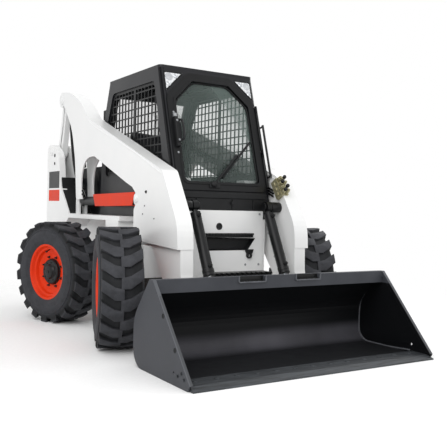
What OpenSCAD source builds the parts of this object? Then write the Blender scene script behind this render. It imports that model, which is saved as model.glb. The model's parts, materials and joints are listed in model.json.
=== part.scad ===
// All-wheel-steer compact loader: cab between two lift arms on rear links, bucket, four steered wheels.
// Millimetres. The front faces -Y, the machine's left is +X, the ground is Z = 0.
// Drawn with the front axle at Y = 0, then moved so that the box over everything is centred.

/* [Wheels] */
// distance between the front and the rear axle
wheelbase = 1238; // [1200:1:1290]
// distance between left and right wheel centres
track = 1626; // [1610:1:1680]
// tyre diameter over the lugs
tyre_d = 840; // [810:1:856]
// tyre width over the side walls
tyre_w = 300; // [270:1:310]
// rim seat diameter
rim_d = 440; // [410:1:470]
// height of the rim's lips over the bead seat
lip_h = 12; // [8:1:16]
// distance of the rim's lips from the tyre's side
lip_in = 22; // [16:1:30]
// thickness of the rim's barrel and lips
rim_t = 12; // [8:1:16]
// how far the wheel disc stands outboard of the tyre's middle
disc_out = 46; // [45:1:60]
// thickness of the wheel disc
disc_t = 14; // [10:1:18]
// radius of the drum at the middle of the wheel disc
drum_r = 96; // [88:1:104]
// height of that drum
drum_h = 26; // [16:1:34]
// lug height
lug_h = 18; // [14:1:30]
// lugs on each side of the tread
lug_n = 18; // [12:1:20]
// lug width along the tread
lug_w = 104; // [60:1:110]
// how far a lug's outer end lags behind its inner end
lug_lag = 48; // [30:1:70]
// steering at rest, front wheels to the machine's right, degrees
steer = 17.5; // [0:0.5:19]

/* [Axles] */
// radius of the axle tubes
axle_r = 54; // [44:1:60]
// radius of the differential housings
diff_r = 88; // [76:1:96]
// radius of the kingpins
king_r = 20; // [16:1:24]
// radius of the yoke ends round the kingpins
yoke_r = 38; // [32:1:40]
// thickness of the yokes
yoke_t = 24; // [18:1:28]
// half of the space between a yoke's two ends
yoke_h = 94; // [90:1:100]
// radius of the knuckle's upright barrel
barrel_r = 34; // [28:1:36]
// radius of the hub flange that carries the wheel
flange_r = 84; // [70:1:90]

/* [Chassis] */
// width of the tub between the wheels
tub_w = 760; // [720:1:790]
// height of the belly above the ground
belly_z = 215; // [180:1:260]
// height of the tub's top and of the side decks
deck_z = 905; // [890:1:925]
// depth of the footwell below the decks
well_d = 345; // [300:1:360]
// how far the decks and towers stand out past the lift arms
deck_over = 45; // [20:1:60]
// thickness of the deck plates
deck_t = 36; // [20:1:40]
// plate thickness of the tub
tub_t = 30; // [16:1:36]
// front face of the tub, ahead of the front axle
tub_front = 85; // [80:1:95]
// thickness of the front panel's skin
panel_t = 12; // [8:1:16]
// rear end of the machine, behind the front axle
rear_y = 2262; // [2240:1:2300]
// top of the towers
tower_z = 1562; // [1540:1:1590]
// underside of the towers
tower_low = 781; // [760:1:800]
// top of the hood
hood_z = 1335; // [1280:1:1360]
// wall between the cab and the engine, behind the front axle
fire_y = 1330; // [1300:1:1350]
// height of the rear beam
beam_h = 170; // [140:1:200]
// radius of the rear tie-down holes
tie_r = 18; // [12:1:22]
// distance of the tie-down holes from the middle
tie_x = 300; // [240:1:330]
// thickness of the rear door
tailgate_t = 60; // [40:1:70]
// width of the rear door's louvres
louvre_w = 520; // [400:1:560]
// spacing of the louvres
louvre_step = 70; // [60:1:90]

/* [Cab] */
// outside width of the cab
cab_w = 836; // [800:1:842]
// height of the roof
roof_z = 2061; // [2030:1:2090]
// thickness of the roof plate
roof_t = 30; // [20:1:40]
// top front edge of the cab, behind the front axle
cab_front_y = 196; // [170:1:220]
// bottom front edge of the door, ahead of the front axle
sill_y = 85; // [75:1:95]
// height of the door sill
sill_z = 1105; // [1080:1:1130]
// rear top edge of the cab
cab_rear_y = 1144; // [1100:1:1180]
// how far the rear wall slants out below the roof
rear_slant = 127; // [90:1:140]
// height of that slanted stretch
slant_h = 370; // [300:1:400]
// wall thickness of the cab
cab_t = 40; // [28:1:46]
// radius of the cab's front corners
corner_r = 32; // [20:1:40]
// width of the front posts
post_w = 40; // [38:1:60]
// gap around the front door
door_gap = 6; // [4:1:9]
// width of the door's frame
door_rim = 46; // [36:1:60]
// width of the slanted upper corners of the door
door_cut = 190; // [150:1:210]
// height of the slanted upper corners of the door
door_slant = 190; // [160:1:220]
// radius of the door's corners
door_r = 56; // [50:1:70]
// thickness of the door's frame
door_t = 28; // [26:1:38]
// thickness of the window panes
pane_t = 6; // [4:1:8]
// distance of the corner lamps from the cab's edges
lamp_in = 30; // [28:1:36]
// spacing of the side grilles' bars
mesh_pitch = 62; // [50:1:90]
// thickness of the side grilles' bars
mesh_bar = 9; // [6:1:12]
// width of the seat
seat_w = 500; // [440:1:540]
// height of the seat cushion's top
seat_z = 1180; // [1150:1:1200]
// thickness of the seat cushion
seat_t = 120; // [90:1:140]

/* [Lift arms] */
// inner face of each arm from the machine's middle
arm_in = 432; // [430:1:440]
// outer face of each arm from the machine's middle
arm_out = 555; // [545:1:565]
// outer face of the front leg beside the tyre
leg_out = 530; // [520:1:535]
// half of the slot inside each arm for its lift cylinder
slot_h = 50; // [49:0.5:52]
// height of the boom's rear pin
head_z = 1985; // [1970:1:2000]
// radius of the boom's rear head
head_r = 72; // [60:1:80]
// height of the rear link's lower pin
link_z = 1500; // [1485:1:1510]
// thickness of the rear links
link_t = 54; // [40:1:60]
// radius of the rear links' ends
link_r = 62; // [50:1:64]
// radius of the pins at the boom and the links
pin_r = 26; // [20:1:30]
// running clearance of the pins
pin_gap = 0.5; // [0.3:0.1:1]
// width of the serrated step on the front cross beam
step_w = 500; // [400:1:560]

/* [Cylinders] */
// radius of the lift barrels
lift_r = 38; // [34:1:39]
// radius of the lift rods
lift_rod_r = 25; // [20:1:28]
// length of the lift barrels
lift_len = 1180; // [1150:1:1200]
// distance of the tilt cylinders from the middle
tilt_x = 320; // [300:1:330]
// radius of the tilt barrels
tilt_r = 38; // [32:1:42]
// radius of the tilt rods
tilt_rod_r = 19; // [16:0.5:19]
// length of the tilt barrels
tilt_len = 540; // [500:1:550]
// half width of the cylinder eyes
eye_h = 20; // [16:1:22]
// radius of the barrels' eyes
eye_r = 42; // [38:1:46]
// radius of the pins in the barrels' eyes
eye_pin_r = 20; // [16:1:22]

/* [Bucket] */
// width of the bucket
bucket_w = 1880; // [1780:1:1990]
// reach of the cutting edge ahead of the front axle
edge_y = 1304; // [1250:1:1350]
// height of the bucket's top edge
bucket_z = 555; // [520:1:590]
// top edge of the bucket's back, ahead of the front axle
brow_y = 773; // [740:1:800]
// back plate of the bucket, ahead of the front axle
back_y = 565; // [560:1:575]
// bucket plate thickness
bucket_t = 14; // [10:1:18]
// thickness of the side plates
cheek_t = 12; // [8:1:16]
// radius of the bucket's heel
heel_r = 120; // [90:1:140]
// height of the rail along the top edge
rail_h = 84; // [60:1:100]
// depth of that rail
rail_d = 44; // [36:1:60]
// length of the cutting edge plate
edge_len = 200; // [150:1:240]
// thickness of the cutting edge plate
edge_t = 25; // [18:1:32]
// height of the bucket's pin above the ground
hitch_z = 235; // [225:1:245]

/* [Hidden] */
fine = 96;
arc_step = 9;
e = 0.01;
seat_gap = 0.4;
mid_y = (rear_y - edge_y) / 2;
axle_z = tyre_d / 2;
wheel_x = track / 2;
rim_r = rim_d / 2;
tub_x = tub_w / 2;
well_x = tub_x - tub_t;
cab_x = cab_w / 2;
arm_x = (arm_in + arm_out) / 2;
deck_x = arm_out + deck_over;
floor_z = deck_z - well_d;
bay_y = rear_y - tailgate_t - 2;
wall_z = roof_z - roof_t;
slant_z = roof_z - slant_h;
lean = atan((cab_front_y + sill_y) / (wall_z - sill_z));
face_len = (wall_z - sill_z) / cos(lean);
door_x = cab_x - post_w - door_gap;
door_low = 24;
sill_drop = 70;
door_top = face_len - 46;
door_flange = 21;
hinge_r = 10;
hinge_x = door_x + door_flange + 5;
hinge_y = -17;
hinge_h = 56;
hinge_top = door_top - door_slant - hinge_h - 8;
hinge_low = door_low + 0.413 * (hinge_top - door_low);
hinge_pins = [hinge_low, hinge_top];
window_low = sill_z + 135;
window_top = roof_z - 120;
window_front = 90;
rear_sill = hood_z - 5;
rear_lintel = roof_z - 140;
rear_post = 90;
pane_in = 34;
head = [1990, head_z];
link = [2130, link_z];
lift_base = [1580, 1020];
lift_eye = [270, 1040];
lift_dir = lift_eye - lift_base;
lift_l = norm(lift_dir);
lift_a = atan2(-lift_dir[1], -lift_dir[0]);
tilt_base = [-190, 1000];
tilt_eye = [-490, 398];
tilt_dir = tilt_eye - tilt_base;
tilt_l = norm(tilt_dir);
tilt_a = atan2(-tilt_dir[1], -tilt_dir[0]);
shaft_end = 160;
tube_start = eye_r + 16;
bore_start = tube_start + 20;
eye_pocket = 165;
lug_r = 40;
lug_t = 18;
deck_end = lift_base[0] + lug_r + 2;
hitch = [-450, hitch_z];
beam_front = -350;
beam_back = -250;
step_z = 500;
// corners of the lift arm's front edge: its nose at the top and the bend above the leg
nose = [-151, 1242];
shin = [-391, 868];
front_way = (shin - nose) / norm(shin - nose);
front_out = [front_way[1], -front_way[0]];

// outlines in (y, z), the third number rounds the corner
side_points = [[-tub_front, belly_z, 60], [bay_y, belly_z, 60], [bay_y, deck_z, 0], [-tub_front, deck_z, 0]];
tower_points = [[rear_y, tower_z, 70], [2090, tower_z, 70], [1926, 1470, 120], [1856, 1145, 120], [1738, 1028, 60],
    [deck_end, deck_z, 0], [deck_end, deck_z - deck_t, 0], [1760, tower_low, 60], [rear_y, tower_low, 30]];
tower_well = [[1500, 1000], [rear_y - 57, 1240], [rear_y - 57, tower_z + 140], [1500, tower_z + 140]];
arm_points = [[2020, 2057, 20], [1604, 2026, 950], [1300, 1750, 160], [nose[0], nose[1], 70],
    [shin[0], shin[1], 320], [-402, 700, 0], [310, 735, 40], [310, 960, 30], [262, 1015, 20], [275, 1080, 20],
    [345, 1132, 30], [465, 1170, 0], [1130, 1404, 0], [1438, 1404, 215], [1438, 1141, 40], [1345, 1090, 30],
    [1345, 1040, 20], [1561, 1036, 20], [1602, 1390, 700], [1700, 1690, 500], [1950, 1940, 0]];
leg_points = [[nose[0], nose[1], 70], [shin[0], shin[1], 320], [-404, 520, 150], [-508, 250, 30],
    [-470, hitch_z - 64, 40], [-400, hitch_z - 64, 40], [-330, 225, 60], [-125, 498, 200], [40, 700, 60],
    [309, 700, 40], [309, 940, 0], [205, 1365, 0]];
arm_window = [1188, 1154];
arm_window_r = 250;
link_points = [[head[0] - 54, head[1], 0], [head[0] + 54, head[1] + 12, 0], [link[0] + link_r - 2, link[1] + 10, 0],
    [link[0] - link_r + 2, link[1] - 10, 0]];
bucket_knee = [-back_y, 300];
knee_r = 200;
knee_turn = atan2(brow_y - back_y, bucket_z - bucket_knee[1]);
brow = [-brow_y, bucket_z];
brow_in = brow - bucket_t * [cos(knee_turn), sin(knee_turn)];
edge_back = -edge_y + edge_len;
foot_hole = [-1102, 69];
step_holes = [-228, 228];
step_slot = 200;

// a direction of length one
function unit(v) = v / norm(v);

// the points that round corner b between a and c, b's third number being the radius
function bend(a, b, c) = b[2] == 0 ? [[b[0], b[1]]] :
    let (
        at = [b[0], b[1]],
        u = unit([a[0], a[1]] - at),
        v = unit([c[0], c[1]] - at),
        half = acos(u * v) / 2,
        mid = at + unit(u + v) * b[2] / sin(half),
        first = at + u * b[2] / tan(half) - mid,
        last = at + v * b[2] / tan(half) - mid,
        start = atan2(first[1], first[0]),
        raw = atan2(last[1], last[0]) - start,
        sweep = raw > 180 ? raw - 360 : raw < -180 ? raw + 360 : raw,
        n = max(2, ceil(abs(sweep) / arc_step))
    ) [for (i = [0:n]) mid + b[2] * [cos(start + sweep * i / n), sin(start + sweep * i / n)]];

// an outline with its corners rounded
function soft(p) = [for (i = [0:len(p) - 1])
    each bend(p[(i + len(p) - 1) % len(p)], p[i], p[(i + 1) % len(p)])];

// the cab's rear wall, as y at a height z
function rear_wall(z) = z > slant_z
    ? cab_rear_y + rear_slant * (wall_z - z) / (wall_z - slant_z)
    : cab_rear_y + rear_slant + (fire_y - cab_rear_y - rear_slant) * (slant_z - z) / (slant_z - deck_z);

// moves the drawing from the front axle to the middle of the box
module placed() {
    translate([0, -mid_y, 0]) children();
}

// the same piece on both sides
module twin() {
    children();
    mirror([1, 0, 0]) children();
}

// a (y, z) outline pulled out from x0 to x1
module slab(x0, x1) {
    translate([x0, 0, 0]) rotate([90, 0, 90]) linear_extrude(x1 - x0) children();
}

// a round bar along X through a (y, z) point
module rod_x(p, r, x0, x1) {
    translate([x0, p[0], p[1]]) rotate([0, 90, 0]) cylinder(r = r, h = x1 - x0, $fn = fine);
}

module box(lo, hi) {
    translate(lo) cube(hi - lo);
}

// a disc in the (y, z) plane
module dot(p, r) {
    translate(p) circle(r, $fn = fine);
}

// turns the drawing into the leaning front face: X across, Z up the face, Y into the cab
module front_face() {
    translate([0, -sill_y, sill_z]) rotate([-lean, 0, 0]) children();
}

// an (x, z) outline in the leaning face, from depth y0 to y1
module face_slab(y0, y1) {
    translate([0, y1, 0]) rotate([90, 0, 0]) linear_extrude(y1 - y0) children();
}

// puts a wheel's own frame, X outboard, at one corner
module corner(side, axle) {
    translate([side * wheel_x, axle * wheelbase, axle_z]) rotate([0, 0, steer * (2 * axle - 1)])
        mirror([side < 0 ? 1 : 0, 0, 0]) children();
}

// puts a cylinder's own frame, X along its axis, at its base pin
module along(p, a) {
    translate([0, p[0], p[1]]) rotate([a, 0, 0]) rotate([0, 0, -90]) children();
}

module frame_sides() {
    placed() color("white") twin() difference() {
        slab(well_x, tub_x) polygon(soft(side_points));
        for (y = [0, wheelbase]) rod_x([y, axle_z], axle_r + pin_gap, well_x - 1, tub_x + 1);
    }
}

// belly plate, cab floor with the wall to the engine bay, and the rear beam with its tie-down holes
module frame_floors() {
    placed() color("dimgray") {
        box([-well_x, -tub_front + 60, belly_z], [well_x, bay_y - 60, belly_z + tub_t]);
        box([-well_x, -tub_front + tub_t, floor_z - tub_t], [well_x, fire_y, floor_z]);
        box([-well_x, fire_y - tub_t, floor_z - tub_t], [well_x, fire_y, deck_z]);
        difference() {
            box([-tub_x, bay_y, belly_z], [tub_x, rear_y, belly_z + beam_h]);
            twin() translate([tie_x, rear_y - 31, belly_z - 1]) cylinder(r = tie_r, h = beam_h + 2, $fn = fine);
        }
    }
}

module towers() {
    placed() color("white") twin() {
        difference() {
            slab(tub_x, deck_x) polygon(soft(tower_points));
            slab(arm_x - slot_h, arm_x + slot_h) polygon(tower_well);
        }
        rod_x(link, pin_r, arm_x - slot_h - 6, arm_x + slot_h + 6);
    }
}

module side_decks() {
    panel_low = 350;
    sunk = 8;
    lug_gap = eye_h + 2;
    placed() color("white") twin() {
        box([tub_x, 470, deck_z - deck_t], [deck_x, deck_end - seat_gap, deck_z]);
        box([tub_x + 1, 492, panel_low], [deck_x - 1, 746, deck_z - deck_t + sunk]);
        for (x = [arm_x - lug_gap - lug_t, arm_x + lug_gap]) slab(x, x + lug_t) difference() {
            union() {
                translate([lift_base[0] - lug_r, deck_z - sunk])
                    square([2 * lug_r, lift_base[1] - deck_z + sunk]);
                dot(lift_base, lug_r);
            }
            dot(lift_base, eye_pin_r + 1);
        }
        rod_x(lift_base, eye_pin_r + 2, arm_x - lug_gap - lug_t + 2, arm_x - lug_gap - 1);
        rod_x(lift_base, eye_pin_r + 2, arm_x + lug_gap + 1, arm_x + lug_gap + lug_t - 2);
        rod_x(lift_base, eye_pin_r, arm_x - lug_gap - 4, arm_x + lug_gap + 4);
    }
}

module front_panel() {
    step_low = 670;
    step_top = 770;
    plug = [-45, 850];
    plug_r = 24;
    placed() color("white") difference() {
        union() {
            box([-well_x, -tub_front - panel_t, belly_z + tub_t], [well_x, -tub_front, deck_z + sill_drop - 6]);
            box([-well_x, -tub_front - e, belly_z + tub_t], [well_x, -tub_front + tub_t, deck_z]);
        }
        translate([0, -tub_front + tub_t - 6, 0]) rotate([90, 0, 0]) linear_extrude(tub_t + panel_t)
            polygon([[-230, step_top], [280, step_top - 10], [215, step_low], [-205, step_low]]);
        translate([plug[0], -tub_front - panel_t - 1, plug[1]]) rotate([-90, 0, 0])
            cylinder(r = plug_r, h = 9, $fn = fine);
    }
}

// an upper rail and a lower band with three upright joints
module door_sill() {
    sill_x = 374;
    joint_w = 5;
    placed() color("black") difference() {
        union() {
            box([-sill_x, -sill_y - 15, deck_z + sill_drop], [sill_x, -sill_y, sill_z]);
            box([-sill_x, -sill_y - 27, sill_z - 46], [sill_x, -sill_y - 15 + e, sill_z - 8]);
        }
        for (x = [-250, 60, 250])
            box([x, -sill_y - 16, deck_z + sill_drop - 1], [x + joint_w, -sill_y - 8, sill_z - 52]);
    }
}

module axles() {
    placed() color("dimgray") for (y = [0, wheelbase]) translate([0, y, axle_z]) {
        rod_x([0, 0], axle_r, -wheel_x + 120, wheel_x - 120);
        rod_x([40, 0], diff_r, -100, 100);
        translate([0, 60, 0]) rotate([-90, 0, 0]) cylinder(r = axle_r - 8, h = shaft_end - 60, $fn = fine);
        twin() difference() {
            union() {
                box([wheel_x - 124, -50, -yoke_h - yoke_t], [wheel_x - 96, 50, yoke_h + yoke_t]);
                for (s = [0, 1]) mirror([0, 0, s]) {
                    box([wheel_x - 100, -yoke_r, yoke_h], [wheel_x, yoke_r, yoke_h + yoke_t]);
                    translate([wheel_x, 0, yoke_h]) cylinder(r = yoke_r, h = yoke_t, $fn = fine);
                }
            }
            translate([wheel_x, 0, -yoke_h - yoke_t - 1])
                cylinder(r = king_r + pin_gap, h = 2 * (yoke_h + yoke_t + 1), $fn = fine);
        }
    }
}

module engine() {
    engine_x = 270;
    front = max(fire_y + 70, wheelbase + shaft_end + 2);
    placed() color("dimgray")
        box([-engine_x, front, belly_z + tub_t], [engine_x, bay_y - 120, deck_z + 200]);
}

module hood() {
    front = fire_y + 12;
    placed() color("dimgray") difference() {
        slab(-tub_x, tub_x) polygon(soft([[front, deck_z, 0], [bay_y, deck_z, 0], [bay_y, hood_z, 40],
            [front, hood_z, 20]]));
        box([-well_x, front + tub_t, deck_z - 1], [well_x, bay_y + 1, hood_z - tub_t]);
    }
}

module tail_lamps() {
    lamp_z = 1000;
    placed() color("red") twin() box([deck_x - 120, rear_y, lamp_z], [deck_x - 40, rear_y + 8, lamp_z + 160]);
}

// the cab seen from the side, grown inwards by d
module cab_side(d) {
    polygon([[-sill_y + d, deck_z], [-sill_y + d, sill_z], [cab_front_y + d, wall_z],
        [cab_rear_y - d, wall_z], [cab_rear_y + rear_slant - d, slant_z], [fire_y - d, deck_z]]);
}

// the window in the cab's side
module side_opening(d) {
    polygon(soft([[window_front + d, window_low + d, 50], [window_front + 190 + d, window_top - d, 50],
        [cab_rear_y - 70 - d, window_top - d, 60], [cab_rear_y + 40 - d, slant_z, 0],
        [cab_rear_y + 70 - d, window_low + d, 50]]));
}

// the door's outline in the front face, grown inwards by d
module door_outline(d) {
    slant = norm([door_cut, door_slant]);
    low = door_low + d;
    bend_z = door_top - door_slant + d * (door_slant - slant) / door_cut;
    top_x = door_x - door_cut + d * (door_cut - slant) / door_slant;
    top = door_top - d;
    r = door_r - d / 2;
    polygon(soft([[-door_x + d, low, r], [door_x - d, low, r], [door_x - d, bend_z, r], [top_x, top, r],
        [-top_x, top, r], [-door_x + d, bend_z, r]]));
}

module lamp_outline() {
    lamp_w = 160;
    lamp_h = 155;
    side = cab_x - lamp_in;
    top = face_len - lamp_in;
    polygon([[side, top - lamp_h], [side, top], [side - lamp_w, top]]);
}

// the cab's plan in the leaning face, with round front corners
module cab_plan() {
    deep = 2600;
    translate([-cab_x, corner_r]) square([cab_w, deep]);
    translate([-cab_x + corner_r, 0]) square([cab_w - 2 * corner_r, deep]);
    for (s = [-1, 1]) translate([s * (cab_x - corner_r), corner_r]) circle(corner_r, $fn = fine);
}

module cab_frame() {
    lamp_deep = 24;
    hatch_in = 140;
    placed() color("dimgray") front_face() for (z = hinge_pins) {
        translate([hinge_x, hinge_y, z]) cylinder(r = hinge_r, h = hinge_h, $fn = fine);
        box([hinge_x + 1, hinge_y, z], [hinge_x + hinge_r - 1, 12, z + hinge_h]);
    }
    placed() color("dimgray") difference() {
        intersection() {
            slab(-cab_x, cab_x) cab_side(0);
            front_face() translate([0, 0, -400]) linear_extrude(face_len + 800) cab_plan();
        }
        difference() {
            slab(-cab_x + cab_t, cab_x - cab_t) cab_side(cab_t);
            box([-cab_x, -sill_y - 100, wall_z - 26], [cab_x, fire_y + 100, roof_z]);
        }
        box([-well_x, -sill_y + cab_t, deck_z - 1], [well_x, fire_y - cab_t, deck_z + 60]);
        front_face() face_slab(-60, 120) door_outline(-door_gap);
        twin() front_face() face_slab(-1, lamp_deep) lamp_outline();
        slab(-cab_x - 1, cab_x + 1) side_opening(0);
        box([-cab_x + rear_post, cab_rear_y - 100, rear_sill], [cab_x - rear_post, fire_y + 10, rear_lintel]);
        box([-cab_x + hatch_in, cab_front_y + hatch_in, wall_z - 50],
            [cab_x - hatch_in, cab_rear_y - hatch_in, roof_z]);
    }
}

// roof plate with round front corners and a raised hatch
module cab_roof() {
    hatch_in = 120;
    hatch_h = 8;
    placed() color("dimgray") {
        translate([0, cab_front_y, wall_z]) linear_extrude(roof_t - hatch_h) intersection() {
            cab_plan();
            translate([-cab_x, 0]) square([cab_w, cab_rear_y - cab_front_y]);
        }
        box([-cab_x + hatch_in, cab_front_y + hatch_in, roof_z - hatch_h - e],
            [cab_x - hatch_in, cab_rear_y - hatch_in, roof_z]);
    }
}

module side_grilles() {
    edge_w = 22;
    bar_y = 640;
    bar_w = 36;
    high = window_top - window_low;
    placed() color("black") twin() slab(cab_x - edge_w, cab_x - edge_w + mesh_bar) {
        difference() {
            side_opening(0);
            side_opening(edge_w);
        }
        intersection() {
            side_opening(0);
            union() {
                for (y = [window_front + 10:mesh_pitch:fire_y])
                    translate([y - mesh_bar / 2, window_low - 10]) square([mesh_bar, high + 20]);
                for (z = [window_low + 30:mesh_pitch:window_top])
                    translate([window_front - 10, z - mesh_bar / 2]) square([fire_y, mesh_bar]);
                translate([bar_y, window_low - 10]) square([bar_w, high + 20]);
            }
        }
    }
}

module rear_window() {
    heights = [rear_sill, slant_z, rear_lintel];
    placed() color("lightblue") slab(-cab_x + rear_post, cab_x - rear_post) polygon(concat(
        [for (i = [0:2]) [rear_wall(heights[i]) - pane_in, heights[i]]],
        [for (i = [2:-1:0]) [rear_wall(heights[i]) - pane_in + pane_t, heights[i]]]));
}

module cab_lamps() {
    placed() color("white") twin() front_face() face_slab(2, 24) lamp_outline();
}

module seat_base() {
    placed() color("dimgray") box([-seat_w / 2 + 100, 640, floor_z], [seat_w / 2 - 100, 1080, seat_z - seat_t]);
}

module seat_cushion() {
    placed() color("black") slab(-seat_w / 2, seat_w / 2) polygon(soft([[560, seat_z - seat_t, 30],
        [1120, seat_z - seat_t, 20], [1120, seat_z, 20], [560, seat_z, 50]]));
}

module seat_back() {
    low = seat_z + seat_gap;
    high = slant_z - 50;
    placed() color("black") slab(-seat_w / 2 + 10, seat_w / 2 - 10)
        polygon(soft([[1020, low, 20], [1120, low, 20], [1160, high, 50], [1050, high, 50]]));
}

module controls() {
    lever_x = 270;
    lever_y = 420;
    placed() color("black") twin() {
        translate([lever_x, lever_y, floor_z]) cylinder(r = 14, h = 700, $fn = fine);
        translate([lever_x, lever_y, floor_z + 690]) cylinder(r = 26, h = 130, $fn = fine);
    }
}

// bent rod beside the left front post
module grab_handle() {
    rod_r = 9;
    foot_r = 7;
    out = -46;
    low = 130;
    high = 545;
    reach = corner_r - sqrt(pow(corner_r, 2) - pow(corner_r - foot_r, 2)) - seat_gap;
    placed() color("black") front_face() translate([cab_x, 0, 0]) {
        translate([0, out, low - rod_r]) cylinder(r = rod_r, h = high - low + 2 * rod_r, $fn = fine);
        for (z = [low, high])
            translate([0, out, z]) rotate([-90, 0, 0]) cylinder(r = foot_r, h = reach - out, $fn = fine);
    }
}

// eight-sided frame with a raised inner lip and the hinge barrels, its flange notched at the cab's knuckles
module door_frame() {
    lip = 16;
    front = -12;
    play = 6;
    notch_x = door_x + 10;
    barrels = [[door_low + 20, hinge_low - pin_gap], [hinge_low + hinge_h + pin_gap, hinge_top - pin_gap]];
    placed() color("black") front_face() {
        face_slab(front + 6, door_t - 4) difference() {
            door_outline(0);
            door_outline(door_rim);
        }
        face_slab(front, front + 7) difference() {
            intersection() {
                door_outline(-door_flange);
                translate([-cab_x, 6]) square([cab_w, face_len]);
            }
            door_outline(door_rim);
            for (z = hinge_pins) translate([notch_x, z - play]) square([cab_x, hinge_h + 2 * play]);
        }
        face_slab(front - 5, front + 1) difference() {
            door_outline(door_rim - lip);
            door_outline(door_rim);
        }
        for (z = barrels) {
            translate([hinge_x, hinge_y, z[0]]) cylinder(r = hinge_r, h = z[1] - z[0], $fn = fine);
            box([door_x, front, z[0]], [hinge_x, front + 7, z[1]]);
        }
    }
}

module door_glass() {
    placed() color("lightblue") front_face() face_slab(8, 8 + pane_t) door_outline(door_rim);
}

module door_handle() {
    placed() color("black") front_face() box([-door_x + 5, -44, 330], [-door_x + 30, -12 - seat_gap, 560]);
}

module tailgate() {
    edge_gap = 12;
    hinge_in = 7;
    pin = 6.7;
    louvre_h = 40;
    placed() color("white") {
        difference() {
            box([-tub_x + edge_gap, bay_y + 2, belly_z + beam_h + 4], [tub_x - edge_gap, rear_y, hood_z - 10]);
            for (z = [620:louvre_step:hood_z - 150])
                box([-louvre_w / 2, bay_y, z], [louvre_w / 2, rear_y - 12, z + louvre_h]);
        }
        translate([tub_x - hinge_in, rear_y, belly_z + 250]) cylinder(r = pin, h = 600, $fn = fine);
    }
}

// one lift arm from the side
module arm_outline() {
    difference() {
        polygon(soft(arm_points));
        dot(arm_window, arm_window_r);
    }
    dot(head, head_r);
    dot(lift_eye, 45);
}

// the front leg beside the tyre
module leg_outline() {
    polygon(soft(leg_points));
    dot(hitch, 65);
}

module boom_arms() {
    placed() color("white") twin() {
        difference() {
            union() {
                slab(arm_in, arm_out) arm_outline();
                slab(arm_in, leg_out) leg_outline();
            }
            slab(arm_x - slot_h, arm_x + slot_h) {
                dot(lift_eye, eye_pocket);
                translate(lift_eye - [0, eye_pocket]) square([240, 2 * eye_pocket]);
                translate([1250, 980]) square([470, 440]);
                dot(head, head_r + 30);
                translate([head[0] - 60, 1700]) square([170, head[1] - 1700]);
            }
            rod_x(hitch, pin_r + pin_gap, arm_in - 1, arm_out + 1);
        }
        rod_x(head, pin_r, arm_x - slot_h - 6, arm_x + slot_h + 6);
    }
}

// front cross beam and rear cross tube
module boom_beams() {
    placed() color("white") {
        box([-arm_in, beam_front, 380], [arm_in, beam_back, step_z]);
        rod_x([1500, 1600], 52, -arm_in, arm_in);
    }
}

// serrated step on the front cross beam
module front_step() {
    tooth = 20;
    low = step_z + seat_gap;
    placed() color("black") difference() {
        box([-step_w / 2, beam_front - 22, low], [step_w / 2, beam_back, step_z + 28]);
        for (x = [-step_w / 2 + tooth:2 * tooth + 2:step_w / 2 - tooth])
            box([x, beam_front - 23, step_z + 12], [x + tooth, beam_front + 10, step_z + 29]);
    }
}

// pins with a boss and a collar that carry the tilt cylinders beside the arms
module tilt_pins() {
    boss_r = 40;
    collar_r = 32;
    placed() color("black") twin() {
        rod_x(tilt_base, eye_pin_r, tilt_x - eye_h - 8, arm_in - 4);
        rod_x(tilt_base, collar_r, tilt_x - eye_h - 16, tilt_x - eye_h - 6);
        rod_x(tilt_base, boss_r, tilt_x + eye_h + 6, arm_in - seat_gap);
    }
}

// block of hydraulic couplers in the corner of the left arm's front edge and inner face
module coupler_block() {
    block_d = 28;
    plate_w = 40;
    plate_t = 14;
    near = nose + front_way * 28;
    far = near + front_way * 150;
    deep = front_out * 60;
    ahead = front_out * plate_t;
    gap = front_out * seat_gap;
    placed() color("olive") {
        slab(arm_in - block_d, arm_in - seat_gap) polygon([near + ahead, far + ahead, far - deep, near - deep]);
        slab(arm_in - block_d, arm_in + plate_w) polygon([near + ahead, far + ahead, far + gap, near + gap]);
    }
}

module rear_links() {
    placed() color("white") twin() difference() {
        slab(arm_x - link_t / 2, arm_x + link_t / 2) {
            polygon(soft(link_points));
            dot(head, link_r - 4);
            dot(link, link_r);
        }
        for (p = [link, head]) rod_x(p, pin_r + pin_gap, arm_x - slot_h, arm_x + slot_h);
    }
}

// a cylinder's barrel: eye with its neck, tube and gland
module barrel(r, rod_r, length) {
    difference() {
        union() {
            rotate([90, 0, 0]) translate([0, 0, -eye_h]) cylinder(r = eye_r, h = 2 * eye_h, $fn = fine);
            translate([eye_pin_r + 8, 0, 0]) rotate([0, 90, 0]) cylinder(r = eye_h - 1, h = tube_start, $fn = fine);
            translate([tube_start, 0, 0]) rotate([0, 90, 0]) cylinder(r = r, h = length - tube_start, $fn = fine);
        }
        translate([bore_start, 0, 0]) rotate([0, 90, 0]) cylinder(r = rod_r + pin_gap, h = length, $fn = fine);
        rotate([90, 0, 0]) translate([0, 0, -50]) cylinder(r = eye_pin_r + pin_gap, h = 100, $fn = fine);
    }
}

// a cylinder's rod from inside its barrel to the eye at its end
module piston_rod(r, start, length, end_r, hole_r) {
    difference() {
        union() {
            translate([start, 0, 0]) rotate([0, 90, 0])
                cylinder(r = r, h = length - start - (end_r + hole_r) / 2, $fn = fine);
            translate([length, 0, 0]) rotate([90, 0, 0]) translate([0, 0, -eye_h])
                cylinder(r = end_r, h = 2 * eye_h, $fn = fine);
        }
        translate([length, 0, 0]) rotate([90, 0, 0]) translate([0, 0, -50]) cylinder(r = hole_r, h = 100, $fn = fine);
    }
}

module lift_barrels() {
    placed() color("black") twin() translate([arm_x, 0, 0]) along(lift_base, lift_a)
        barrel(lift_r, lift_rod_r, lift_len);
}

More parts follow.
